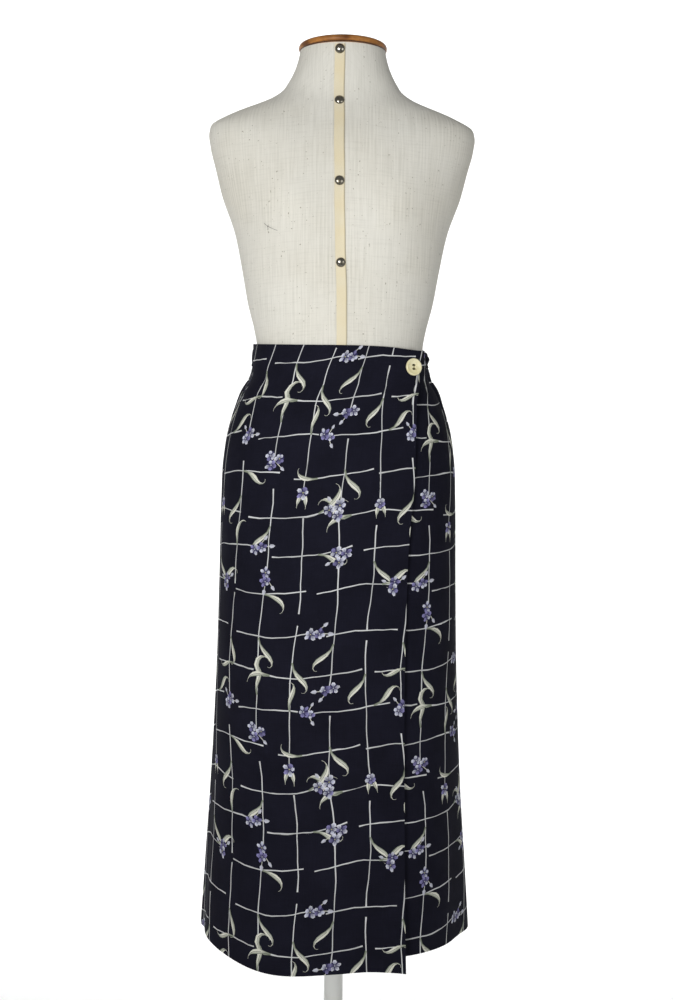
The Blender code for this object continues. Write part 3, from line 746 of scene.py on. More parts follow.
def linear(colour):
    """An sRGB colour as the shader wants it."""
    c = np.asarray(colour[:3], float)
    return np.where(c > 0.04045, ((c + 0.055) / 1.055) ** 2.4, c / 12.92)


def srgb(red, green, blue):
    return (red / 255, green / 255, blue / 255)


def colour_property(name, description, default):
    return FloatVectorProperty(
        name=name, description=description, default=default, subtype="COLOR_GAMMA", min=0, max=1
    )


def number_property(name, description, default, **limits):
    return FloatProperty(name=name, description=description, default=default, **limits)


def length_property(name, description, default):
    return number_property(name, description, default, unit="LENGTH", min=0, precision=4)


def angle_property(name, description, degrees):
    return number_property(name, description, math.radians(degrees), subtype="ANGLE")


class ClothSettings(bpy.types.PropertyGroup):
    """Sizes and colours of the skirt's cloth and its print."""

    grid: length_property("Mesh spacing", "Distance between the points of plain cloth", 0.006)
    weave: length_property("Weave", "Distance between two threads", 0.0006)
    stem: length_property("Stem width", "Width of a printed stem", 0.0019)
    ground: colour_property("Ground", "Dark cloth between the print", srgb(19, 19, 29))
    wrong_side: colour_property("Wrong side", "Back of the cloth", srgb(52, 52, 64))
    stem_light: colour_property("Stem light", "Lit side of a stem", srgb(208, 209, 210))
    stem_shade: colour_property("Stem shade", "Shaded side of a stem", srgb(128, 132, 128))
    leaf_light: colour_property("Leaf light", "Lit half of a leaf", srgb(224, 224, 211))
    leaf_dark: colour_property("Leaf dark", "Shaded half of a leaf", srgb(116, 123, 108))
    petal_pale: colour_property("Petal rim", "Pale rim of a petal", srgb(224, 225, 234))
    petal_full: colour_property("Petal, full", "Middle of a full petal", srgb(130, 126, 171))
    petal_mid: colour_property("Petal middle", "Middle of an outlined petal", srgb(128, 132, 152))
    petal_heart: colour_property("Petal heart", "Heart of a flower", srgb(46, 44, 74))
    eye: colour_property("Eye", "Small light eye of a flower", srgb(214, 212, 160))


class FormSettings(bpy.types.PropertyGroup):
    """Finishes of the dress form and its stand."""

    calico: colour_property("Calico", "Cover of the torso", srgb(219, 217, 208))
    rib_shade: colour_property("Rib shade", "Between the calico's ribs", srgb(190, 188, 178))
    rib_spacing: length_property("Rib spacing", "From one rib of the calico to the next", 0.0053)
    tape: colour_property("Tape", "Cotton tape down the front", srgb(226, 216, 188))
    wood: colour_property("Wood", "Neck cap", srgb(180, 122, 62))
    wood_dark: colour_property("Wood grain", "Dark grain of the neck cap", srgb(96, 52, 22))
    metal: colour_property("Studs", "Domed studs", srgb(150, 146, 136))
    paint: colour_property("Paint", "Pole, collar and base", srgb(225, 226, 222))
    lint: colour_property("Loose thread", "Lit side of the loose thread", srgb(92, 88, 90))
    lint_dark: colour_property("Loose thread, dark", "Shaded side of the loose thread", srgb(44, 42, 48))


class ButtonSettings(bpy.types.PropertyGroup):
    """The two-hole button beside the free edge."""

    diameter: length_property("Diameter", "Across the button", 0.0242)
    thickness: length_property("Thickness", "At the rim", 0.0038)
    hole: length_property("Hole", "Height of an oval hole", 0.0034)
    hole_width: length_property("Hole width", "Width of an oval hole", 0.0052)
    spacing: length_property("Hole spacing", "Between the middles of the two holes", 0.0050)
    shell: colour_property("Shell", "Pearly button", srgb(231, 225, 189))
    thread: colour_property("Thread", "Sewing thread", srgb(142, 132, 92))


class StageSettings(bpy.types.PropertyGroup):
    """Camera, floor and light."""

    lens: number_property("Lens", "Focal length in mm", 53.64, min=1)
    distance: length_property("Distance", "Camera to the pole", 2.15)
    across: number_property("Across", "Camera to the right of the pole", -0.0026, unit="LENGTH")
    tilt: angle_property("Tilt", "Downwards", 5.94)
    roll: angle_property("Roll", "Of the camera", 0.58)
    key: number_property("Key light", "Power in watts", 9.0, min=0)
    fill: number_property("Fill light", "Power in watts", 2.9, min=0)
    spread: angle_property("Spread", "How wide key and fill fan out", 64)
    wash: number_property("Backdrop light", "Power in watts", 185.0, min=0)
    sky: number_property("Sky", "Strength of the white sky", 0.24, min=0)
    floor: colour_property("Floor", "Plain pale floor", srgb(250, 250, 250))


def settings(context):
    return context.scene.skirt_settings


class SkirtSettings(bpy.types.PropertyGroup):
    """All settings of the skirt, its dress form and the studio."""

    cloth: PointerProperty(type=ClothSettings)
    form: PointerProperty(type=FormSettings)
    button: PointerProperty(type=ButtonSettings)
    stage: PointerProperty(type=StageSettings)


class NodeTree:
    """A short way to write a material's nodes."""

    def __init__(self, name):
        self.material = bpy.data.materials.new(name)
        self.material.use_nodes = True
        self.tree = self.material.node_tree
        self.shader = self.tree.nodes["Principled BSDF"]
        self.count = 0

    def add(self, kind, inputs=(), **values):
        node = self.tree.nodes.new("ShaderNode" + kind)
        node.location = (-260 * (1 + self.count % 6), -240 * (self.count // 6))
        self.count += 1
        for name, value in values.items():
            setattr(node, name, value)
        for key, value in dict(inputs).items():
            self.put(node.inputs[key], value)
        return node

    def put(self, socket, value):
        if isinstance(value, bpy.types.NodeSocket):
            self.tree.links.new(value, socket)
        else:
            socket.default_value = value

    def spot(self):
        """The place on the piece itself."""
        return self.add("TexCoord").outputs["Object"]

    def flat(self, name):
        """The place in one of the piece's maps."""
        return self.add("UVMap", uv_map=name).outputs[0]

    def split(self, place):
        return self.add("SeparateXYZ", {0: place}).outputs

    def math(self, operation, *values):
        return self.add("Math", dict(enumerate(values)), operation=operation).outputs[0]

    def mix(self, share, low, high, blend="MIX"):
        """Two colours mixed by a share."""
        node = self.add("Mix", data_type="RGBA", blend_type=blend)
        for index, value in ((0, share), (6, low), (7, high)):
            if index and not isinstance(value, bpy.types.NodeSocket):
                value = (*value, 1.0)
            self.put(node.inputs[index], value)
        return node.outputs[2]

    def tint(self, share, colour, tint):
        """A colour, multiplied by the tint where the share is 1."""
        return self.mix(share, colour, self.mix(1.0, colour, tint, "MULTIPLY"))

    def ramp(self, value, low, high):
        """The value, stretched so that low becomes 0 and high becomes 1."""
        return self.add("MapRange", {0: value, 1: low, 2: high}, clamp=True).outputs[0]

    def between(self, value, low, high):
        """The value, with 0 made low and 1 made high."""
        return self.add("MapRange", {0: value, 3: low, 4: high}).outputs[0]

    def noise(self, place, scale, detail=2.0, roughness=0.5, size=(1, 1, 1)):
        """Soft noise, drawn out along the axes whose size is small."""
        mapped = self.add("Mapping", {"Vector": place, "Scale": size}).outputs[0]
        inputs = {"Vector": mapped, "Scale": scale, "Detail": detail, "Roughness": roughness}
        return self.add("TexNoise", inputs).outputs["Fac"]

    def bump(self, height, distance, strength, before=None):
        node = self.add("Bump", {"Height": height, "Distance": distance, "Strength": strength})
        if before is not None:
            self.put(node.inputs["Normal"], before)
        return node.outputs[0]

    def finish(self, colour, normal=None, **values):
        """Sets the shader: sockets by name with underscores for spaces."""
        values["Base_Color"] = colour
        if normal is not None:
            values["Normal"] = normal
        for name, value in values.items():
            self.put(self.shader.inputs[name.replace("_", " ")], value)
        return self.material


def new_object(name, data):
    """A new object in the scene, at the origin."""
    obj = bpy.data.objects.new(name, data)
    bpy.context.scene.collection.objects.link(obj)
    return obj


def mesh_piece(name, points, faces, materials=()):
    """A new smooth object, with its place in its mesh."""
    mesh = bpy.data.meshes.new(name)
    mesh.from_pydata(np.asarray(points).tolist(), [], faces)
    for material in materials:
        mesh.materials.append(material)
    mesh.update()
    mesh.shade_smooth()
    return new_object(name, mesh)


def choose(obj):
    """Makes one object the only selected and the active one."""
    if bpy.context.mode != "OBJECT":
        bpy.ops.object.mode_set(mode="OBJECT")
    bpy.ops.object.select_all(action="DESELECT")
    obj.select_set(True)
    bpy.context.view_layer.objects.active = obj


def apply_modifiers(obj):
    choose(obj)
    for modifier in list(obj.modifiers):
        bpy.ops.object.modifier_apply(modifier=modifier.name)


def thicken(obj, thickness, **values):
    """Gives a sheet its thickness, outwards from its inner face."""
    solidify = obj.modifiers.new("Wall", "SOLIDIFY")
    solidify.thickness = thickness
    solidify.offset = 1.0
    for name, value in values.items():
        setattr(solidify, name, value)
    apply_modifiers(obj)


def cylinder(name, vertices, radius, bottom, top):
    """A plain upright disc or rod round the origin's axis."""
    bpy.ops.object.select_all(action="DESELECT")
    bpy.ops.mesh.primitive_cylinder_add(
        vertices=vertices, radius=radius, depth=top - bottom, location=(0, 0, (top + bottom) / 2)
    )
    piece = bpy.context.object
    piece.name = piece.data.name = name
    bpy.ops.object.transform_apply(location=True, rotation=False, scale=False)
    return piece


def bind(piece, node=None):
    """Puts a piece in the one body, and in the place of its solid if it has one."""
    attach(piece, "root")
    if node:
        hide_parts(node)


def settle(piece, material, node=None, sharp=None):
    """Finishes a piece, with edges over this many degrees left sharp, and binds it."""
    piece.data.materials.clear()
    piece.data.materials.append(material)
    piece.data.shade_smooth()
    if sharp:
        piece.data.set_sharp_from_angle(angle=math.radians(sharp))
    bind(piece, node)


def read_all(items, key, kind=np.int32, wide=1):
    """One value, or one row of values, of each of a mesh's items."""
    values = np.empty(len(items) * wide, kind)
    items.foreach_get(key, values)
    return values


def add_map(mesh, name, places):
    """Gives a mesh a map, with a place for each corner of its faces."""
    mesh.uv_layers.new(name=name).data.foreach_set("uv", places.reshape(-1))


def grid_faces(rows, columns, closed=False):
    """Quads of a grid of points stored row by row."""
    faces = []
    for j in range(rows - 1):
        for i in range(columns if closed else columns - 1):
            k = (i + 1) % columns
            faces.append((j * columns + i, j * columns + k, (j + 1) * columns + k, (j + 1) * columns + i))
    return faces


class Print:
    """The patches of one repeat of the print: flat shapes with a colour at each corner."""

    def __init__(self, cloth):
        self.cloth = cloth
        self.layers = {"stem": [], "leaf": [], "flower": []}
        self.random = np.random.default_rng(PRINT_SEED)
        self.lines = []

    def patch(self, layer, corners, colours):
        """Adds a small shape whose corners go round its middle."""
        corners = np.asarray(corners, float)
        colours = np.asarray(colours, float)
        from_middle = corners - corners.mean(0)
        order = np.argsort(np.arctan2(from_middle[:, 1], from_middle[:, 0]))
        self.layers[layer].append((corners[order], colours[order]))

    def ribbon(self, layer, line, half_widths, left, right, middle):
        """A strip along a line, with its own colour on each side and along its middle."""
        along = np.gradient(line, axis=0)
        along /= np.linalg.norm(along, axis=1, keepdims=True)
        side = np.stack([-along[:, 1], along[:, 0]], 1) * half_widths[:, None]
        for i in range(len(line) - 1):
            for sign, shade in ((1, right), (-1, left)):
                corners = (line[i], line[i + 1], line[i + 1] + sign * side[i + 1], line[i] + sign * side[i])
                colours = (middle[i], middle[i + 1], shade[i + 1], shade[i])
                self.patch(layer, corners, colours)

    def stem(self, x0, y0, x1, y1, sway, start, end):
        """A long stem that wavers a little, with flared ends where it is cut."""
        length = math.hypot(x1 - x0, y1 - y0)
        t = np.linspace(0.0, 1.0, max(4, round(length / STEM_STEP)) + 1)
        aside = sway * np.sin(math.pi * t)
        for (depth, waves), shift in zip(STEM_WAVERS, (x0, y0)):
            aside = aside + depth * np.sin(waves * t + shift)
        along = np.array([x1 - x0, y1 - y0]) / length
        line = np.array([x0, y0]) + t[:, None] * length * along
        line += aside[:, None] * np.array([-along[1], along[0]])
        half = 1000 * self.cloth.stem / 2 * (0.92 + 0.14 * np.sin(7.0 * t + x1))
        for kind, from_end in ((start, t * length), (end, (1 - t) * length)):
            if kind == "cut":
                half = half * (1 + STEM_FLARE * hump(from_end / STEM_FLARE_LENGTH))
        light = linear(self.cloth.stem_light)
        shade = linear(self.cloth.stem_shade)
        tone = (0.5 + 0.5 * np.sin(5.0 * t + y1))[:, None]
        tones = [base + gain * tone for base, gain in STEM_TONES]
        self.lines.append(line)
        self.ribbon("stem", line, half, light * tones[0], shade * tones[1], light * tones[2])

    def on_stem(self, number, share):
        """The point this far along a stem, and the stem's direction there in degrees."""
        line = self.lines[number]
        place = share * (len(line) - 1)
        first = min(int(place), len(line) - 2)
        along = line[first + 1] - line[first]
        return line[first] + (place - first) * along, math.degrees(math.atan2(along[1], along[0]))

    def leaf(self, number, share, off, length, width, bend, hook):
        """A leaf that grows out of a stem, bends evenly and hooks over at its thin tip."""
        foot, heading = self.on_stem(number, share)
        t = 1 - (1 - np.linspace(0.0, 1.0, LEAF_STEPS + 1)) ** LEAF_CROWDING
        turn = np.radians(heading + off + bend * t + hook * t**LEAF_HOOKING)
        steps = np.stack([np.cos(turn), np.sin(turn)], 1)
        steps = (steps[1:] + steps[:-1]) / 2 * (length * np.diff(t))[:, None]
        line = foot + np.vstack([[0, 0], np.cumsum(steps, 0)])
        blade = np.clip((t - BLADE_START) / BLADE_LENGTH, 0, 1) ** BLADE_LEAN
        half = BLADE_SHARE * width * np.sin(math.pi * blade) ** BLADE_SLIMNESS
        half = half + LEAF_FOOT * (1 - t) ** 3 + LEAF_STALK * (1 - 0.5 * t)
        light = linear(self.cloth.leaf_light)
        dark = linear(self.cloth.leaf_dark)
        tone = (ease((t - 0.10) / 0.30) * (1 - 0.20 * ease((t - 0.7) / 0.3)))[:, None]
        body = dark * 1.3 * (1 - tone) + light * tone
        edges = [body * 0.92, dark * (0.50 + 0.50 * tone)]
        if bend <= 0:
            edges.reverse()
        self.ribbon("leaf", line, half, *edges, body)
        vein = slice(2, LEAF_STEPS - 2)
        shade = dark * 0.7 * np.ones((LEAF_STEPS - 4, 1))
        self.ribbon("leaf", line[vein], np.full(len(shade), VEIN), shade, shade, shade)

    def floret(self, middle, radius, tone):
        """A flower of rounded petals on a dark disc: some are pale, some full of colour."""
        start = self.random.uniform(0, 360)
        pale = linear(self.cloth.petal_pale)
        full = linear(self.cloth.petal_full)
        grey = linear(self.cloth.petal_mid)
        heart = linear(self.cloth.petal_heart)
        along, aside, bright = np.array(PETAL_ROWS).T
        rays = np.arange(PETALS) * 360 / PETALS + start
        disc = [middle + radius * turned(ray, 0.86) for ray in start + np.arange(0, 360, 36)]
        self.patch("flower", disc, [heart * 1.3] * len(disc))
        for ray in rays + self.random.uniform(-13, 13, PETALS):
            size, wide = self.random.uniform(0.78, 1.18), self.random.uniform(0.78, 1.15)
            rim = middle + radius * turned(ray, along * size, aside * wide)
            core = middle + radius * turned(ray, 0.52 * size)
            if self.random.uniform() < 0.08 + 0.48 * tone:
                colour = full * self.random.uniform(0.8, 1.5)
                inside = full * self.random.uniform(0.3, 0.8)
            else:
                colour = pale * self.random.uniform(0.75, 1.15)
                inside = grey * self.random.uniform(0.7, 2.0)
            shades = colour * bright[:, None] + heart * (1 - bright)[:, None]
            for i in range(len(rim)):
                j = (i + 1) % len(rim)
                self.patch("flower", [core, rim[i], rim[j]], [inside, shades[i], shades[j]])
        eye = linear(self.cloth.eye) * 0.55 if tone < 0.4 else pale * 0.6
        self.patch("flower", [middle + radius * turned(ray, 0.13) for ray in rays], [eye] * PETALS)

    def bud(self, foot, middle, radius):
        """A closed bud on a thin stalk."""
        t = np.linspace(0, 1, STALK_POINTS)[:, None]
        light = np.tile(linear(self.cloth.leaf_light) * 0.8, (STALK_POINTS, 1))
        self.ribbon("leaf", foot * (1 - t) + middle * t, np.full(STALK_POINTS, 0.5), light, light, light)
        away = (middle - foot) / np.linalg.norm(middle - foot)
        aside = np.array([-away[1], away[0]])
        outline = [middle + radius * (a * away + b * aside) for a, b in BUD_ROWS]
        pale = linear(self.cloth.petal_pale)
        grey = linear(self.cloth.petal_mid)
        self.patch("flower", outline, [grey, pale, pale, grey, pale * 0.7, pale * 0.7])

    def flower(self, number, share, kind, turn, size, full):
        """A cluster of florets with its buds."""
        foot, _ = self.on_stem(number, share)
        for along, aside, radius in BUDS[kind]:
            self.bud(foot, foot + turned(turn, along, aside) * size, radius * size)
        for along, aside, radius, tone in FLORETS[kind]:
            self.floret(foot + turned(turn, along, aside) * size, radius * size, 0.5 * (tone + full))

    def patches(self):
        """All patches from the lowest to the topmost, in metres."""
        for row in STEM_ROWS:
            self.stem(*row)
        for row in LEAF_ROWS:
            self.leaf(*row)
        for row in FLOWER_ROWS:
            self.flower(*row)
        return [(c / 1000, k) for layer in self.layers.values() for c, k in layer]


def repeated(patches, start, low, high):
    """Copies of the repeat's patches that reach into this part of the flat cloth."""
    size = np.array(REPEAT) / 1000
    first = np.floor((low - PRINT_REACH) / size).astype(int)
    last = np.ceil((high + PRINT_REACH) / size).astype(int)
    copies = []
    for corners, colours in patches:
        for i in range(first[0], last[0] + 1):
            for j in range(first[1], last[1] + 1):
                moved = corners + (np.array(start) + size * (i, j))
                if (moved.min(0) < high).all() and (moved.max(0) > low).all():
                    copies.append((moved, colours))
    return copies


class GatheredPanel:
    """A gathered panel against its flat cut, which is equally wide at all levels."""

    def __init__(self, place, low, high):
        self.place, self.low, self.high = place, low, high

    def flat(self, u, level):
        """Places in the flat cloth, to the right and down, of points of the panel."""
        return np.stack([(u - 0.5) * BACK_CUT_WIDTH, level], -1)

    def back(self, flat):
        """The panel's u and level of places in the flat cloth."""
        p, q = flat.T
        return np.clip(p / BACK_CUT_WIDTH + 0.5, 0, 1), np.clip(q, self.low, self.high)


class FittedPanel:
    """A smooth panel against its flat cut, which lies along its own girth at each level."""

    LEVELS = 60
    ACROSS = 160
    ROUNDS = 8

    def __init__(self, place, origin):
        self.place = place
        self.levels = np.linspace(0.0, SKIRT_LENGTH, self.LEVELS)
        u = np.linspace(0, 1, self.ACROSS)
        grid = place(*np.broadcast_arrays(u[None, :], self.levels[:, None]))
        steps = np.linalg.norm(np.diff(grid, axis=1), axis=-1)
        arc = np.concatenate([np.zeros((self.LEVELS, 1)), np.cumsum(steps, 1)], 1)
        self.first = np.array([-np.interp(origin(level), u, row) for level, row in zip(self.levels, arc)])
        self.total = arc[:, -1]
        self.share_of = arc / self.total[:, None]
        self.u_of = np.array([np.interp(u, row, u) for row in self.share_of])

    def look_up(self, table, level, across):
        """The table's value between its levels and its even steps across."""
        i = np.clip(level / SKIRT_LENGTH, 0, 1) * (self.LEVELS - 1)
        j = np.clip(across, 0, 1) * (self.ACROSS - 1)
        i0 = np.minimum(i.astype(int), self.LEVELS - 2)
        j0 = np.minimum(j.astype(int), self.ACROSS - 2)
        a, b = i - i0, j - j0
        low = table[i0, j0] * (1 - b) + table[i0, j0 + 1] * b
        high = table[i0 + 1, j0] * (1 - b) + table[i0 + 1, j0 + 1] * b
        return low * (1 - a) + high * a

    def ends(self, level):
        """Where the panel starts, from its origin, and its girth."""
        return np.interp(level, self.levels, self.first), np.interp(level, self.levels, self.total)

    def flat(self, u, level):
        """Places in the flat cloth, to the right and down, of points of the panel."""
        first, total = self.ends(level)
        arc = first + total * self.look_up(self.share_of, level, u)
        rise = rows_at(WEFT_RISE_ROWS, level)[1]
        return np.stack([arc * rows_at(EASE_ROWS, level)[1], level + arc * rise], -1)

    def back(self, flat):
        """The panel's u and level of places in the flat cloth."""
        p, q = flat.T
        level = np.clip(q, 0.0, SKIRT_LENGTH)
        for _ in range(self.ROUNDS):
            arc = p / rows_at(EASE_ROWS, level)[1]
            level = np.clip(q - arc * rows_at(WEFT_RISE_ROWS, level)[1], 0.0, SKIRT_LENGTH)
        first, total = self.ends(level)
        arc = p / rows_at(EASE_ROWS, level)[1]
        return self.look_up(self.u_of, level, (arc - first) / total), level


def cut_cloth(name, panel, columns, levels, extra, patches, cloth, materials):
    """A printed cloth: its flat cut is divided along the print's outlines, then hung."""
    u, level = np.meshgrid(columns, levels)
    index = np.arange(u.size).reshape(u.shape)
    rim = np.concatenate([index[0], index[1:, -1], index[-1, -2::-1], index[-2:0:-1, 0]])
    known = np.vstack([np.stack([u.ravel(), level.ravel()], 1), extra])
    flat = panel.flat(*known.T)
    copies = repeated(patches, PRINT_START[name], flat.min(0), flat.max(0))
    points = np.vstack([flat] + [corners for corners, _ in copies])
    starts = np.cumsum([len(flat)] + [len(corners) for corners, _ in copies]).tolist()
    faces = [rim.tolist()] + [list(range(start, end)) for start, end in zip(starts, starts[1:])]
    cut = delaunay_2d_cdt([Vector(p) for p in points.tolist()], [], faces, 0, 1e-7, True)
    places = np.array([tuple(p) for p in cut[0]])
    kept = [(triangle, max(ids)) for triangle, ids in zip(cut[2], cut[5]) if 0 in ids]
    triangles, tops = (np.array(part) for part in zip(*kept))

    u, level = panel.back(places)
    for i, sources in enumerate(cut[3]):
        if sources and sources[0] < len(known):
            u[i], level[i] = known[sources[0]]
    solid = panel.place(u, level)

    # The topmost patch at a place colours it, evenly from corner to corner
    middles = np.array([corners.mean(0) for corners, _ in copies])
    plans = []
    for (corners, colours), middle in zip(copies, middles):
        system = np.column_stack([np.ones(len(corners)), corners - middle])
        plans.append(np.linalg.lstsq(system, colours, rcond=None)[0])
    dye = np.zeros((len(triangles), 3, 4))
    dye[..., :3] = linear(cloth.ground)
    printed = tops > 0
    patch = tops[printed] - 1
    corners = places[triangles[printed]] - middles[patch][:, None, :]
    system = np.concatenate([np.ones(corners.shape[:2] + (1,)), corners], -1)
    dye[printed, :, :3] = np.clip(system @ np.array(plans)[patch], 0, 1)
    dye[printed, :, 3] = 1.0

    # The flat cut runs down, so its triangles are turned to face outwards
    a, b, c = solid[triangles].transpose(1, 0, 2)
    if (np.cross(b - a, c - a)[:, :2] * (a + b + c)[:, :2]).sum() < 0:
        triangles = triangles[:, ::-1]
        dye = dye[:, ::-1]
    used, numbers = np.unique(triangles, return_inverse=True)
    faces = numbers.reshape(triangles.shape).tolist()
    obj = mesh_piece(name + "_cloth", solid[used], faces, materials)
    tint = obj.data.attributes.new("print", "FLOAT_COLOR", "CORNER")
    tint.data.foreach_set("color", dye.reshape(-1))
    add_map(obj.data, "cloth", places[triangles])
    share = (places[triangles] - flat.min(0)) / np.ptp(flat, axis=0)
    add_map(obj.data, "OFBake", np.clip(share, 0, 1))
    return obj


def wall(obj):
    """Gives a cloth its thickness outwards and lays out its bake map: the face, then the rest."""
    thicken(obj, CLOTH, use_quality_normals=True, material_offset=1, material_offset_rim=1)
    mesh = obj.data
    bake = mesh.uv_layers["OFBake"].data
    uv = read_all(bake, "uv", np.float32, 2).reshape(-1, 2)
    part = read_all(mesh.polygons, "material_index")
    part = np.repeat(part, read_all(mesh.polygons, "loop_total"))
    for index, (left, width) in enumerate((FACE_MAP, WRONG_SIDE_MAP)):
        uv[part == index] = (left, MAP_EDGE) + np.array([width, MAP_HEIGHT]) * uv[part == index]
    bake.foreach_set("uv", uv.reshape(-1))
    mesh.set_sharp_from_angle(angle=math.radians(CLOTH_EDGE))
    mesh.update()


def cloth_material(name, cloth, right_side):
    """Printed cloth: threads, slubs, a soft nap and the print, fainter on the wrong side."""
    tree = NodeTree(name)
    place = tree.flat("cloth")
    dye = tree.add("Attribute", attribute_name="print", attribute_type="GEOMETRY").outputs
    ground = linear(cloth.ground if right_side else cloth.wrong_side)
    soft = tree.noise(place, 14.0, 3.0, 0.6)
    slub = tree.noise(place, 900.0, 2.0, 0.6, size=(1.0, 0.045, 1.0))
    pick = tree.noise(place, 900.0, 2.0, 0.6, size=(0.045, 1.0, 1.0))
    streak = tree.math("ADD", slub, pick)
    shade = tree.ramp(streak, 0.75, 1.25)
    base = tree.mix(tree.ramp(soft, 0.35, 0.65), ground * 0.86, ground * 1.16)
    base = tree.tint(shade, base, (1.25, 1.25, 1.3))
    printed = tree.tint(shade, dye["Color"], (0.88, 0.88, 0.88))
    cover = tree.math("MULTIPLY", dye["Alpha"], 0.97 if right_side else 0.22)
    inputs = {"Vector": place, "Scale": 1 / (cloth.weave * 2 * math.pi), "Distortion": 0.6, "Detail": 1.0}
    warp, weft = (tree.add("TexWave", inputs, bands_direction=axis).outputs["Fac"] for axis in "XY")
    bump = tree.bump(tree.math("MAXIMUM", warp, weft), 0.00010, 0.6)
    return tree.finish(
        tree.mix(cover, base, printed),
        tree.bump(streak, 0.00012, 0.5, bump),
        Roughness=0.86,
        Specular_IOR_Level=0.07,
        Sheen_Weight=0.012,
        Sheen_Roughness=0.45,
        Sheen_Tint=(0.55, 0.57, 0.70, 1.0),
    )


def plan_columns(count, dense):
    """Even steps across, with a few more close to the edges."""
    return np.unique(np.round([*np.linspace(0, 1, count + 1), *dense], 5))


class SKIRT_OT_cloth(bpy.types.Operator):
    """Cuts, prints and hangs the skirt's panels"""

    bl_idname = "skirt.cloth"
    bl_label = "Skirt panels"

    def execute(self, context):
        cloth = settings(context).cloth
        patches = Print(cloth).patches()
        materials = [
            cloth_material("navy_print_cloth", cloth, True),
            cloth_material("navy_print_cloth_wrong_side", cloth, False),
        ]
        none = np.empty((0, 2))
        u, level = np.meshgrid(np.linspace(*PULL_COLUMNS), np.linspace(*PULL_LEVELS))
        pulls = np.stack([u.ravel(), level.ravel()], 1)
        far_seam = tuple(1 - step for step in SEAM_STEPS)
        levels = np.linspace(0.0, SKIRT_LENGTH, round(SKIRT_LENGTH / cloth.grid) + 1)
        top = BAND_DEPTH + SEAM_GAP
        hanging = round((SKIRT_LENGTH - GATHERS_END) / HANGING_STEP) + 1
        gathered = np.linspace(top, GATHERS_END, GATHERED_LEVELS)
        back_levels = [*gathered, *np.linspace(GATHERS_END, SKIRT_LENGTH, hanging)[1:]]
        overlap = FittedPanel(overlap_place, lambda level: 1.0)
        underlap = FittedPanel(underlap_place, free_edge_share)
        back = GatheredPanel(back_place, top, SKIRT_LENGTH)
        band = GatheredPanel(band_place, 0.0, BAND_DEPTH)
        plans = {
            "front_overlap": (overlap, SEAM_STEPS + FREE_EDGE_STEPS, levels, pulls),
            "front_underlap": (underlap, far_seam, levels, none),
            "back_panel": (back, SEAM_STEPS + far_seam, back_levels, none),
            "elastic_waistband": (band, (), np.linspace(0.0, BAND_DEPTH, BAND_LEVELS), none),
        }
        for node, (panel, dense, levels, extra) in plans.items():
            columns = plan_columns(PANEL_STEPS[node], dense)
            obj = cut_cloth(node, panel, columns, levels, extra, patches, cloth, materials)
            wall(obj)
            bind(obj, node)
        return {"FINISHED"}


def shrunk(ring, share):
    """A ring drawn in towards its middle."""
    middle = ring.mean(0)
    return middle + (ring - middle) * share


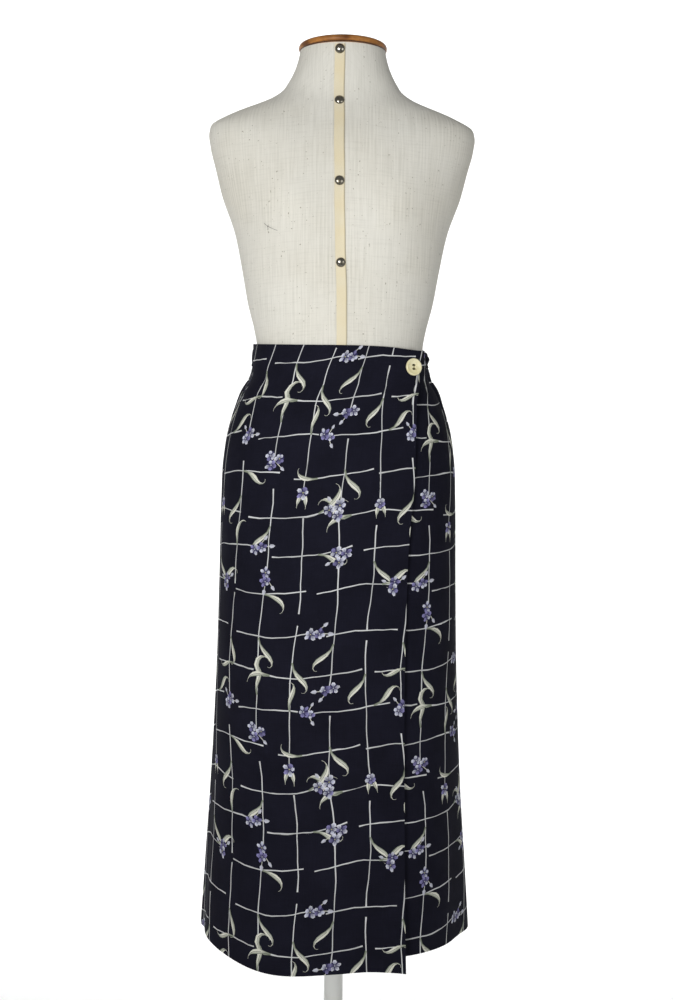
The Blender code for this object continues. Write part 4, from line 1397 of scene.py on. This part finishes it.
class SKIRT_OT_torso(bpy.types.Operator):
    """Lofts the calico torso through its sections"""

    bl_idname = "skirt.torso"
    bl_label = "Calico torso"

    COLUMNS = 192
    STEP = 0.0045
    # Both ends are closed by smaller rings, as shares of the end's own size
    BOTTOM_RINGS = (0.25, 0.6, 0.93)
    TOP_RINGS = (0.9, 0.4)

    def execute(self, context):
        low, high = FORM_SECTIONS[0][0], FORM_SECTIONS[-1][0]
        heights = np.linspace(low, high, round((high - low) / self.STEP) + 1)
        turn, height = np.meshgrid(np.arange(self.COLUMNS) * 360.0 / self.COLUMNS, heights)
        body = form_point(turn, height)
        seam = sum(hump((turn - centre) / COVER_SEAM_WIDTH) for centre in COVER_SEAMS)
        outward = body * (1, 1, 0)
        outward /= np.linalg.norm(outward, axis=-1, keepdims=True)
        body = body - outward * (COVER_SEAM_SINK * seam)[..., None]
        below = [shrunk(body[0], share) for share in self.BOTTOM_RINGS]
        above = [shrunk(body[-1], share) for share in self.TOP_RINGS]
        grid = np.array([*below, *body, *above])
        faces = grid_faces(len(grid), self.COLUMNS, closed=True)
        ring = range(self.COLUMNS)
        faces += [tuple(ring)[::-1], tuple(i + (len(grid) - 1) * self.COLUMNS for i in ring)]
        torso = mesh_piece("calico_torso", grid.reshape(-1, 3), faces)
        self.measure(torso.data, grid)
        settle(torso, self.material(settings(context).form), "form_torso", CLOTH_EDGE)
        return {"FINISHED"}

    def measure(self, mesh, grid):
        """Stores the straight grain of the cover, which starts anew at the front and back centres."""
        around = np.linalg.norm(grid - np.roll(grid, 1, axis=1), axis=-1)
        arc = np.cumsum(around, 1) - around[:, :1]
        upward = np.linalg.norm(np.diff(grid, axis=0), axis=-1)
        height = np.vstack([np.zeros((1, self.COLUMNS)), np.cumsum(upward, 0)])
        height -= height[len(self.BOTTOM_RINGS)]
        row, column = np.divmod(read_all(mesh.loops, "vertex_index"), self.COLUMNS)
        first = np.minimum.reduceat(column, read_all(mesh.polygons, "loop_start"))
        quarter = self.COLUMNS // 4
        behind = (first >= quarter) & (first < 3 * quarter)
        behind = np.repeat(behind, read_all(mesh.polygons, "loop_total"))
        girth = around.sum(1)[row]
        along = arc[row, column]
        along = np.where(behind, along - girth / 2, along - girth * (along > girth / 2))
        add_map(mesh, "grain", np.stack([along, height[row, column]], -1))

    def material(self, form):
        """Off-white calico with fine upright ribs, flecks and faint yellowing."""
        tree = NodeTree("calico")
        place = tree.flat("grain")
        spot = tree.spot()
        wander = tree.noise(place, 26.0, 2.0, 0.5, size=(1.0, 0.16, 1.0))
        phase = tree.math("MULTIPLY", tree.split(place)[0], 2 * math.pi / form.rib_spacing)
        phase = tree.math("ADD", phase, tree.math("MULTIPLY", wander, 7.0))
        rib = tree.math("MULTIPLY_ADD", tree.math("SINE", phase), 0.5, 0.5)
        fine = tree.noise(place, 520.0, 2.0, 0.6, size=(1.0, 0.03, 1.0))
        pick = tree.noise(place, 420.0, 2.0, 0.6, size=(0.06, 1.0, 1.0))
        patchy = tree.ramp(tree.noise(spot, 9.0, 3.0, 0.6), 0.42, 0.68)
        share = tree.math("MULTIPLY", rib, tree.math("MULTIPLY_ADD", patchy, 0.30, 0.04))
        share = tree.math("MULTIPLY_ADD", tree.ramp(fine, 0.40, 0.66), 0.34, share)
        share = tree.math("MULTIPLY_ADD", tree.ramp(pick, 0.50, 0.70), 0.20, share)
        colour = tree.mix(share, linear(form.calico), linear(form.rib_shade))
        warm = tree.ramp(tree.noise(spot, 4.5, 3.0, 0.6), 0.42, 0.72)
        colour = tree.tint(warm, colour, (1.0, 0.985, 0.955))
        fleck = tree.ramp(tree.noise(spot, 330.0, 1.0, 0.4), 0.735, 0.775)
        colour = tree.tint(fleck, colour, (0.52, 0.50, 0.46))
        bump = tree.bump(fine, 0.00012, 0.5, tree.bump(rib, 0.00009, 0.5))
        bump = tree.bump(tree.noise(spot, 28.0, 3.0, 0.5), 0.0009, 0.35, bump)
        return tree.finish(
            colour, bump, Roughness=0.94, Specular_IOR_Level=0.15, Sheen_Weight=0.05, Sheen_Roughness=0.5
        )


class SKIRT_OT_tape(bpy.types.Operator):
    """Lays the cotton tape down the centre front"""

    bl_idname = "skirt.tape"
    bl_label = "Centre tape"

    def execute(self, context):
        heights = np.linspace(TAPE_BOTTOM, TAPE_TOP, TAPE_ROWS)
        aside = np.linspace(-0.5, 0.5, TAPE_COLUMNS) * TAPE_WIDTH
        height, across = np.meshgrid(heights, aside, indexing="ij")
        wander = sum(depth * np.sin(waves * height + shift) for depth, waves, shift in TAPE_WANDERS)
        place, normal = form_front(tape_centre(height) + wander + across, height)
        puff = TAPE_PUFF * np.sin(47 * height) * np.sin(19 * height + 2)
        points = place + normal * (TAPE_SEAT + puff.clip(-TAPE_PUFF / 2, TAPE_PUFF))[..., None]
        tape = mesh_piece("cotton_tape", points.reshape(-1, 3), grid_faces(TAPE_ROWS, TAPE_COLUMNS))
        flat = np.stack([across, height], -1).reshape(-1, 2)
        add_map(tape.data, "tape", flat[read_all(tape.data.loops, "vertex_index")])
        thicken(tape, TAPE_THICKNESS)
        settle(tape, self.material(settings(context).form), "centre_tape", CLOTH_EDGE)
        return {"FINISHED"}

    def material(self, form):
        """Woven cotton tape: a fine herringbone, and painted shade along its right edge."""
        tree = NodeTree("cotton_tape")
        place = tree.flat("tape")
        across, down, _ = tree.split(place)
        slant = tree.math("ADD", down, tree.math("ABSOLUTE", across))
        twill = tree.math("SINE", tree.math("MULTIPLY", slant, 2 * math.pi / 0.0011))
        weave = tree.math("MULTIPLY_ADD", twill, 0.5, 0.5)
        light = linear(form.tape)
        colour = tree.mix(weave, light, light * 0.90)
        # Only the tape's right edge, the side away from the key light, darkens: painted shade along that
        # edge.
        edge = tree.ramp(across, TAPE_WIDTH * 0.38, TAPE_WIDTH * 0.44)
        colour = tree.mix(edge, colour, light * (0.66, 0.65, 0.62))
        aged = tree.ramp(tree.noise(place, 25.0, 2.0, 0.5), 0.4, 0.7)
        colour = tree.tint(aged, colour, (1.0, 0.97, 0.90))
        return tree.finish(colour, tree.bump(weave, 0.00010, 0.7), Roughness=0.9, Specular_IOR_Level=0.2)


def stand_on(place, normal):
    """The matrix that stands a piece made at the origin on a surface, its axis along the normal."""
    quaternion = Vector(normal).to_track_quat("Z", "Y")
    return Matrix.Translation(Vector(place)) @ quaternion.to_matrix().to_4x4()


def node_seat(node):
    """Where a round CAD piece lies: the middle of its back and its axis, read from its mesh."""
    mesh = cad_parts[node].data
    points = np.array([v.co[:] for v in mesh.vertices])
    middle = points.mean(0)
    axis = np.linalg.svd(points - middle, full_matrices=False)[2][2]
    if axis[1] > 0:
        axis = -axis
    return middle + axis * ((points - middle) @ axis).min(), axis


def select_by(obj, kind, test):
    """Selects the faces or edges that pass a test, in edit mode."""
    bpy.ops.object.mode_set(mode="EDIT")
    bpy.ops.mesh.select_mode(type=kind)
    bpy.ops.mesh.select_all(action="DESELECT")
    mesh = bmesh.from_edit_mesh(obj.data)
    for element in mesh.faces if kind == "FACE" else mesh.edges:
        if test(element):
            element.select = True
    mesh.select_flush_mode()
    bmesh.update_edit_mesh(obj.data)


class SKIRT_OT_studs(bpy.types.Operator):
    """Sets the domed studs on the tape"""

    bl_idname = "skirt.studs"
    bl_label = "Studs"

    def execute(self, context):
        material = self.material(settings(context).form)
        radius = STUD_DIAMETER / 2
        bpy.ops.object.select_all(action="DESELECT")
        bpy.ops.mesh.primitive_uv_sphere_add(segments=40, ring_count=24, radius=radius)
        model = context.object
        model.data.transform(Matrix.Diagonal((1.0, 1.0, (STUD_RISE + STUD_SUNK) / radius, 1.0)))
        bpy.ops.object.mode_set(mode="EDIT")
        bpy.ops.mesh.select_all(action="SELECT")
        bpy.ops.mesh.bisect(plane_co=(0, 0, STUD_SUNK), plane_no=(0, 0, 1), clear_inner=True, use_fill=True)
        bpy.ops.object.mode_set(mode="OBJECT")
        model.data.transform(Matrix.Translation((0, 0, -STUD_SUNK)))
        for number in range(1, STUD_COUNT + 1):
            node = f"stud_{number}"
            stud = new_object("domed_" + node, model.data.copy())
            stud.data.name = stud.name
            stud.data.transform(stand_on(*node_seat(node)))
            settle(stud, material, node, DOME_EDGE)
        bpy.data.objects.remove(model)
        return {"FINISHED"}

    def material(self, form):
        """Worn plated steel with fine scratches and darker tarnish."""
        tree = NodeTree("stud_metal")
        spot = tree.spot()
        tarnish = tree.ramp(tree.noise(spot, 160.0, 3.0, 0.6), 0.40, 0.68)
        light = linear(form.metal)
        colour = tree.mix(tarnish, light, light * (0.50, 0.47, 0.40))
        scratch = tree.noise(spot, 900.0, 2.0, 0.5, size=(1.0, 1.0, 0.15))
        rough = tree.between(tarnish, 0.16, 0.34)
        return tree.finish(colour, tree.bump(scratch, 0.00003, 0.5), Metallic=1.0, Roughness=rough)


class SKIRT_OT_neck_cap(bpy.types.Operator):
    """Turns the oval wooden neck cap"""

    bl_idname = "skirt.neck_cap"
    bl_label = "Neck cap"

    def execute(self, context):
        half = (CAP_THICKNESS + CAP_RISE) / 2
        cap = cylinder("wooden_neck_cap", 128, CAP_HALF_WIDTH, -half, half)
        select_by(cap, "EDGE", lambda e: all(abs(abs(v.co.z) - half) < NEAR for v in e.verts))
        bpy.ops.mesh.bevel(offset=half * CAP_ROUNDING, segments=7, affect="EDGES")
        select_by(cap, "FACE", lambda f: f.normal.z > 0.99 and len(f.verts) > 20)
        bpy.ops.mesh.inset(thickness=CAP_INSET * CAP_HALF_WIDTH)
        bpy.ops.transform.translate(value=(0, 0, CAP_CROWN))
        bpy.ops.object.mode_set(mode="OBJECT")
        low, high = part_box("neck_cap")
        middle = (Vector(low) + Vector(high)) / 2
        middle.z += CAP_RISE / 2 - CAP_SEAT
        oval = Matrix.Diagonal((1.0, CAP_HALF_DEPTH / CAP_HALF_WIDTH, 1.0, 1.0))
        cap.data.transform(Matrix.Translation(middle) @ Matrix.Rotation(-NECK_TILT, 4, "X") @ oval)
        material = self.material(settings(context).form, middle, half)
        settle(cap, material, "neck_cap", TURNED_EDGE)
        return {"FINISHED"}

    def material(self, form, middle, half):
        """Oiled brown wood: long grain across the neck, darker knots, and dark lines along both rim edges,
        the lower one painted shadow.
        """
        tree = NodeTree("neck_wood")
        spot = tree.spot()
        grain = tree.noise(spot, 60.0, 5.0, 0.62, size=(0.16, 1.0, 1.6))
        fine = tree.noise(spot, 520.0, 3.0, 0.6, size=(0.08, 1.0, 1.4))
        knots = tree.ramp(tree.noise(spot, 30.0, 2.0, 0.5, size=(0.8, 1.0, 1.0)), 0.52, 0.70)
        light, dark = linear(form.wood), linear(form.wood_dark)
        colour = tree.mix(tree.ramp(grain, 0.40, 0.66), light, light * 0.62)
        colour = tree.mix(knots, colour, dark)
        colour = tree.tint(tree.ramp(fine, 0.50, 0.75), colour, (0.72, 0.66, 0.60))
        # Both edges of the cap's rim are darkened, and its top stays light: the lower dark line is painted
        # shadow where the cap sits on the cover, and the upper edge is darkened the same way
        x, y, z = tree.split(spot)
        level = tree.math("MULTIPLY_ADD", z, math.cos(NECK_TILT), -middle.z * math.cos(NECK_TILT))
        level = tree.math("MULTIPLY_ADD", y, math.sin(NECK_TILT), level)
        from_middle = tree.math("DIVIDE", tree.math("ABSOLUTE", level), half)
        edge = tree.ramp(tree.math("ADD", from_middle, tree.math("MULTIPLY", fine, 0.25)), 0.70, 0.98)
        across = tree.math("DIVIDE", x, CAP_HALF_WIDTH)
        ahead = tree.math("DIVIDE", tree.math("SUBTRACT", y, middle.y), CAP_HALF_DEPTH)
        across, ahead = (tree.math("POWER", away, 2.0) for away in (across, ahead))
        rim = tree.ramp(tree.math("ADD", across, ahead), 0.856, 0.902)
        colour = tree.mix(tree.math("MULTIPLY", edge, rim), colour, dark * 0.5)
        rough = tree.between(fine, 0.34, 0.52)
        return tree.finish(colour, tree.bump(fine, 0.00014, 0.5), Roughness=rough, Specular_IOR_Level=0.25)


class SKIRT_OT_button(bpy.types.Operator):
    """Makes the two-hole button and its thread"""

    bl_idname = "skirt.button"
    bl_label = "Button"

    def execute(self, context):
        button = settings(context).button
        radius, thick = button.diameter / 2, button.thickness
        disc = cylinder("shell_button", 96, radius, 0, thick)
        select_by(disc, "FACE", lambda f: f.normal.z > 0.9)
        for inset, sink in BUTTON_STEPS:
            bpy.ops.mesh.inset(thickness=inset * radius)
            bpy.ops.transform.translate(value=(0, 0, -sink * thick))
        bpy.ops.object.mode_set(mode="OBJECT")
        select_by(disc, "EDGE", lambda edge: self.on_rim(edge, radius))
        bpy.ops.mesh.bevel(offset=BUTTON_ROUNDING * thick, segments=6, affect="EDGES")
        bpy.ops.object.mode_set(mode="OBJECT")
        for side in (-1, 1):
            cutter = cylinder("hole", 32, button.hole / 2, -2 * thick, 2 * thick)
            oval = Matrix.Diagonal((button.hole_width / button.hole, 1, 1, 1))
            cutter.data.transform(Matrix.Translation((0, side * button.spacing / 2, 0)) @ oval)
            hole = disc.modifiers.new("Hole", "BOOLEAN")
            hole.object = cutter
            apply_modifiers(disc)
            bpy.data.objects.remove(cutter)
        rounding = disc.modifiers.new("Rounding", "BEVEL")
        rounding.width = HOLE_ROUNDING
        rounding.segments = 3
        rounding.limit_method = "ANGLE"
        rounding.angle_limit = math.radians(CLOTH_EDGE)
        apply_modifiers(disc)
        thread = self.thread(button)
        for piece in (disc, thread):
            piece.data.transform(stand_on(*node_seat("button")))
        settle(disc, self.material(button), "button", DOME_EDGE)
        settle(thread, self.thread_material(button))
        return {"FINISHED"}

    def on_rim(self, edge, radius):
        """Whether an edge runs round the outside."""
        a, b = (v.co for v in edge.verts)
        return min(math.hypot(*a[:2]), math.hypot(*b[:2])) > 0.99 * radius and abs(a.z - b.z) < NEAR

    def thread(self, button):
        """Strands through both holes and over the bridge between them, and their short loose end."""
        reach = button.spacing / 2
        low, top = STRAND_LOW * button.thickness, STRAND_TOP * button.thickness
        runs = []
        for offset in STRAND_OFFSETS:
            run = []
            for i in range(STRAND_STEPS + 1):
                turn = math.pi * i / STRAND_STEPS
                height = low + (top - low + STRAND_RADIUS) * math.sin(turn) ** STRAND_ARCH
                run.append(Vector((offset, -reach * math.cos(turn), height)))
            runs.append(run)
        levels = (low + STRAND_RADIUS, top + STRAND_RADIUS)
        runs.append([Vector((x, y * reach, levels[level])) for x, y, level in LOOSE_END_ROWS])
        mesh = bmesh.new()
        for run in runs:
            self.tube(mesh, run)
        bmesh.ops.recalc_face_normals(mesh, faces=mesh.faces)
        data = bpy.data.meshes.new("button_thread")
        mesh.to_mesh(data)
        mesh.free()
        return new_object("button_thread", data)

    def tube(self, mesh, run):
        """A round strand through the points of a run."""
        rings = []
        for i, centre in enumerate(run):
            along = (run[min(i + 1, len(run) - 1)] - run[max(i - 1, 0)]).normalized()
            side = along.cross(Vector((0, 0, 1)) if abs(along.z) < 0.7 else Vector((1, 0, 0))).normalized()
            turns = [2 * math.pi * k / STRAND_CORNERS for k in range(STRAND_CORNERS)]
            ring = [math.cos(turn) * side + math.sin(turn) * along.cross(side) for turn in turns]
            rings.append([mesh.verts.new(centre + STRAND_RADIUS * out) for out in ring])
        for low, high in zip(rings, rings[1:]):
            for k in range(STRAND_CORNERS):
                m = (k + 1) % STRAND_CORNERS
                mesh.faces.new((low[k], low[m], high[m], high[k]))
        mesh.faces.new(rings[0][::-1])
        mesh.faces.new(rings[-1])

    def thread_material(self, button):
        """Twisted cotton thread."""
        tree = NodeTree("sewing_thread")
        twist = tree.noise(tree.spot(), 2200.0, 1.0, 0.5)
        colour = linear(button.thread)
        colour = tree.mix(twist, colour * 0.7, colour * 1.8)
        return tree.finish(colour, tree.bump(twist, 0.00008, 0.6), Roughness=0.75)

    def material(self, button):
        """Pearly cream shell with soft cloudy bands."""
        tree = NodeTree("button_shell")
        spot = tree.spot()
        cloud = tree.noise(spot, 95.0, 3.0, 0.55, size=(1.0, 1.0, 0.6))
        band = tree.noise(spot, 260.0, 2.0, 0.5, size=(0.25, 0.25, 1.0))
        light = linear(button.shell)
        colour = tree.mix(tree.ramp(cloud, 0.35, 0.65), light, light * (0.86, 0.82, 0.66))
        colour = tree.tint(tree.ramp(band, 0.5, 0.75), colour, (0.9, 0.88, 0.84))
        return tree.finish(
            colour,
            tree.bump(band, 0.00006, 0.4),
            Roughness=tree.between(cloud, 0.22, 0.36),
            Subsurface_Weight=0.12,
            Subsurface_Radius=(0.002, 0.0018, 0.0012),
            Coat_Weight=0.35,
            Coat_Roughness=0.12,
        )


class SKIRT_OT_loose_thread(bpy.types.Operator):
    """Lays a short loose thread on the torso's chest"""

    bl_idname = "skirt.loose_thread"
    bl_label = "Loose thread"

    CLEAR = 0.0004

    def execute(self, context):
        bpy.ops.object.select_all(action="DESELECT")
        bpy.ops.curve.primitive_bezier_curve_add()
        strand = context.object
        strand.name = strand.data.name = "loose_thread"
        curve = strand.data
        curve.splines.clear()
        for rows in LOOSE_THREAD_RUNS:
            spline = curve.splines.new("BEZIER")
            spline.bezier_points.add(len(rows) - 1)
            for point, (turn, height) in zip(spline.bezier_points, rows):
                place = Vector(form_point(turn, height))
                point.co = place + Vector((place.x, place.y, 0)).normalized() * self.CLEAR
                point.handle_left_type = point.handle_right_type = "AUTO"
        curve.bevel_depth = STRAND_RADIUS
        curve.bevel_resolution = 1
        curve.resolution_u = 6
        curve.use_fill_caps = True
        bpy.ops.object.convert(target="MESH")
        form = settings(context).form
        tree = NodeTree("loose_thread")
        twist = tree.noise(tree.spot(), 1500.0, 1.0, 0.5)
        colour = tree.mix(twist, linear(form.lint_dark), linear(form.lint))
        settle(context.object, tree.finish(colour, Roughness=0.8))
        return {"FINISHED"}


class SKIRT_OT_stand(bpy.types.Operator):
    """Models the pole, its collar and the round base in satin paint"""

    bl_idname = "skirt.stand"
    bl_label = "Stand"

    def execute(self, context):
        material = self.material(settings(context).form)
        for name, node, rounding, vertices in STAND_DISCS:
            low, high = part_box(node)
            piece = cylinder(name, vertices, (high[0] - low[0]) / 2, low[2], high[2])
            rims = ((high[2], rounding, 6), (low[2], min(rounding, FOOT_ROUNDING), 2))
            for level, offset, segments in rims:
                select_by(piece, "EDGE", lambda e: all(abs(v.co.z - level) < NEAR for v in e.verts))
                bpy.ops.mesh.bevel(offset=offset, segments=segments, affect="EDGES")
            bpy.ops.object.mode_set(mode="OBJECT")
            settle(piece, material, node, TURNED_EDGE)
        self.collar(material)
        return {"FINISHED"}

    def collar(self, material):
        """A turned collar with a rounded top and a flared foot."""
        low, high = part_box("collar")
        foot, top, outer = low[2], high[2], (high[0] - low[0]) / 2
        bore = (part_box("pole")[1][0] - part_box("pole")[0][0]) / 2 + SEAM_GAP
        # The arcs of the rounded top and the flare: middle, radius, turns and steps
        arcs = (
            (outer - 0.014, top - 0.004, 0.004, 90, 0, 8),
            (outer - 0.002, foot + 0.016, 0.008, 180, 270, 12),
        )
        profile = [(bore, top)]
        for x, z, radius, start, end, steps in arcs:
            for turn in np.radians(np.linspace(start, end, steps + 1)):
                profile.append((x + radius * math.cos(turn), z + radius * math.sin(turn)))
        profile += [(outer, foot + 0.0062), (outer, foot), (bore, foot)]
        count = len(profile)
        data = bpy.data.meshes.new("pole_collar")
        data.from_pydata([(r, 0, z) for r, z in profile], [(i, (i + 1) % count) for i in range(count)], [])
        piece = new_object("pole_collar", data)
        lathe = piece.modifiers.new("Turned", "SCREW")
        lathe.steps = lathe.render_steps = COLLAR_STEPS
        lathe.use_merge_vertices = True
        lathe.merge_threshold = NEAR
        apply_modifiers(piece)
        mesh = bmesh.new()
        mesh.from_mesh(piece.data)
        bmesh.ops.recalc_face_normals(mesh, faces=mesh.faces)
        mesh.to_mesh(piece.data)
        mesh.free()
        settle(piece, material, "collar", TURNED_EDGE)

    def material(self, form):
        """Satin paint with a faint orange peel, dust and rubbed places."""
        tree = NodeTree("pale_paint")
        spot = tree.spot()
        peel = tree.noise(spot, 700.0, 2.0, 0.5)
        dust = tree.ramp(tree.noise(spot, 9.0, 3.0, 0.6), 0.42, 0.70)
        light = linear(form.paint)
        colour = tree.mix(dust, light, light * (0.94, 0.93, 0.90))
        return tree.finish(colour, tree.bump(peel, 0.00005, 0.4), Roughness=tree.between(dust, 0.34, 0.48))


class SKIRT_OT_stage(bpy.types.Operator):
    """Sets the camera, the pale floor and the soft light"""

    bl_idname = "skirt.stage"
    bl_label = "Studio"

    def execute(self, context):
        stage = settings(context).stage
        scene = context.scene
        scene.view_settings.view_transform = "Standard"
        data = bpy.data.cameras.new("camera")
        data.lens = stage.lens
        data.sensor_width = 36.0
        scene.camera = new_object("camera", data)
        place = Matrix.Translation((stage.across, -stage.distance, WAIST_HEIGHT))
        look = Matrix.Rotation(math.radians(90) - stage.tilt, 4, "X")
        scene.camera.matrix_world = place @ look @ Matrix.Rotation(stage.roll, 4, "Z")
        self.floor(stage)
        for name, (place, size, target) in LIGHTS.items():
            data = bpy.data.lights.new(name, "AREA")
            data.energy = getattr(stage, name)
            data.shape = "DISK"
            data.size = size
            data.spread = math.pi if name == "wash" else stage.spread
            lamp = new_object(name, data)
            lamp.location = place
            lamp.rotation_euler = (Vector(target) - Vector(place)).to_track_quat("-Z", "Y").to_euler()
        world = bpy.data.worlds.new("white sky")
        world.use_nodes = True
        sky = world.node_tree.nodes["Background"]
        sky.inputs["Color"].default_value = (1, 1, 1, 1)
        sky.inputs["Strength"].default_value = stage.sky
        scene.world = world
        return {"FINISHED"}

    def floor(self, stage):
        """A floor that sweeps up into a backdrop far behind."""
        profile = [(FLOOR_FRONT, 0.0), (FLOOR_BACK, 0.0)]
        for turn in np.radians(np.linspace(0, 90, SWEEP_STEPS + 1))[1:]:
            rise = SWEEP_RADIUS * (1 - math.cos(turn))
            profile.append((FLOOR_BACK + SWEEP_RADIUS * math.sin(turn), rise))
        profile.append((FLOOR_BACK + SWEEP_RADIUS, BACKDROP_TOP))
        points = [(x, y, z) for y, z in profile for x in (-FLOOR_HALF_WIDTH, FLOOR_HALF_WIDTH)]
        faces = grid_faces(len(profile), 2)
        tree = NodeTree("pale_floor")
        light = linear(stage.floor)
        colour = tree.mix(tree.noise(tree.spot(), 1.5, 2.0, 0.5), light, light * 0.985)
        material = tree.finish(colour, Roughness=0.9, Specular_IOR_Level=0.1)
        return mesh_piece("floor", points, faces, [material])


OPERATORS = (
    SKIRT_OT_stage,
    SKIRT_OT_torso,
    SKIRT_OT_tape,
    SKIRT_OT_studs,
    SKIRT_OT_neck_cap,
    SKIRT_OT_loose_thread,
    SKIRT_OT_stand,
    SKIRT_OT_cloth,
    SKIRT_OT_button,
)


class SKIRT_PT_panel(bpy.types.Panel):
    """Lists the pieces and their settings"""

    bl_idname = "SKIRT_PT_panel"
    bl_label = "Wrap skirt"
    bl_space_type = "VIEW_3D"
    bl_region_type = "UI"
    bl_category = "Skirt"

    def draw(self, context):
        layout = self.layout
        for operator in OPERATORS:
            layout.operator(operator.bl_idname)
        for name in ("cloth", "form", "button", "stage"):
            box = layout.box()
            box.label(text=name.capitalize())
            group = getattr(settings(context), name)
            for key in group.__annotations__:
                box.prop(group, key)


CLASSES = (ClothSettings, FormSettings, ButtonSettings, StageSettings, SkirtSettings)
CLASSES += OPERATORS + (SKIRT_PT_panel,)


def register():
    for cls in CLASSES:
        bpy.utils.register_class(cls)
    bpy.types.Scene.skirt_settings = PointerProperty(type=SkirtSettings)


def unregister():
    del bpy.types.Scene.skirt_settings
    for cls in reversed(CLASSES):
        bpy.utils.unregister_class(cls)


def main():
    register()
    bpy.ops.skirt.stage()
    bpy.ops.skirt.torso()
    bpy.ops.skirt.tape()
    bpy.ops.skirt.studs()
    bpy.ops.skirt.neck_cap()
    bpy.ops.skirt.loose_thread()
    bpy.ops.skirt.stand()
    bpy.ops.skirt.cloth()
    bpy.ops.skirt.button()


if __name__ == "__main__":
    main()
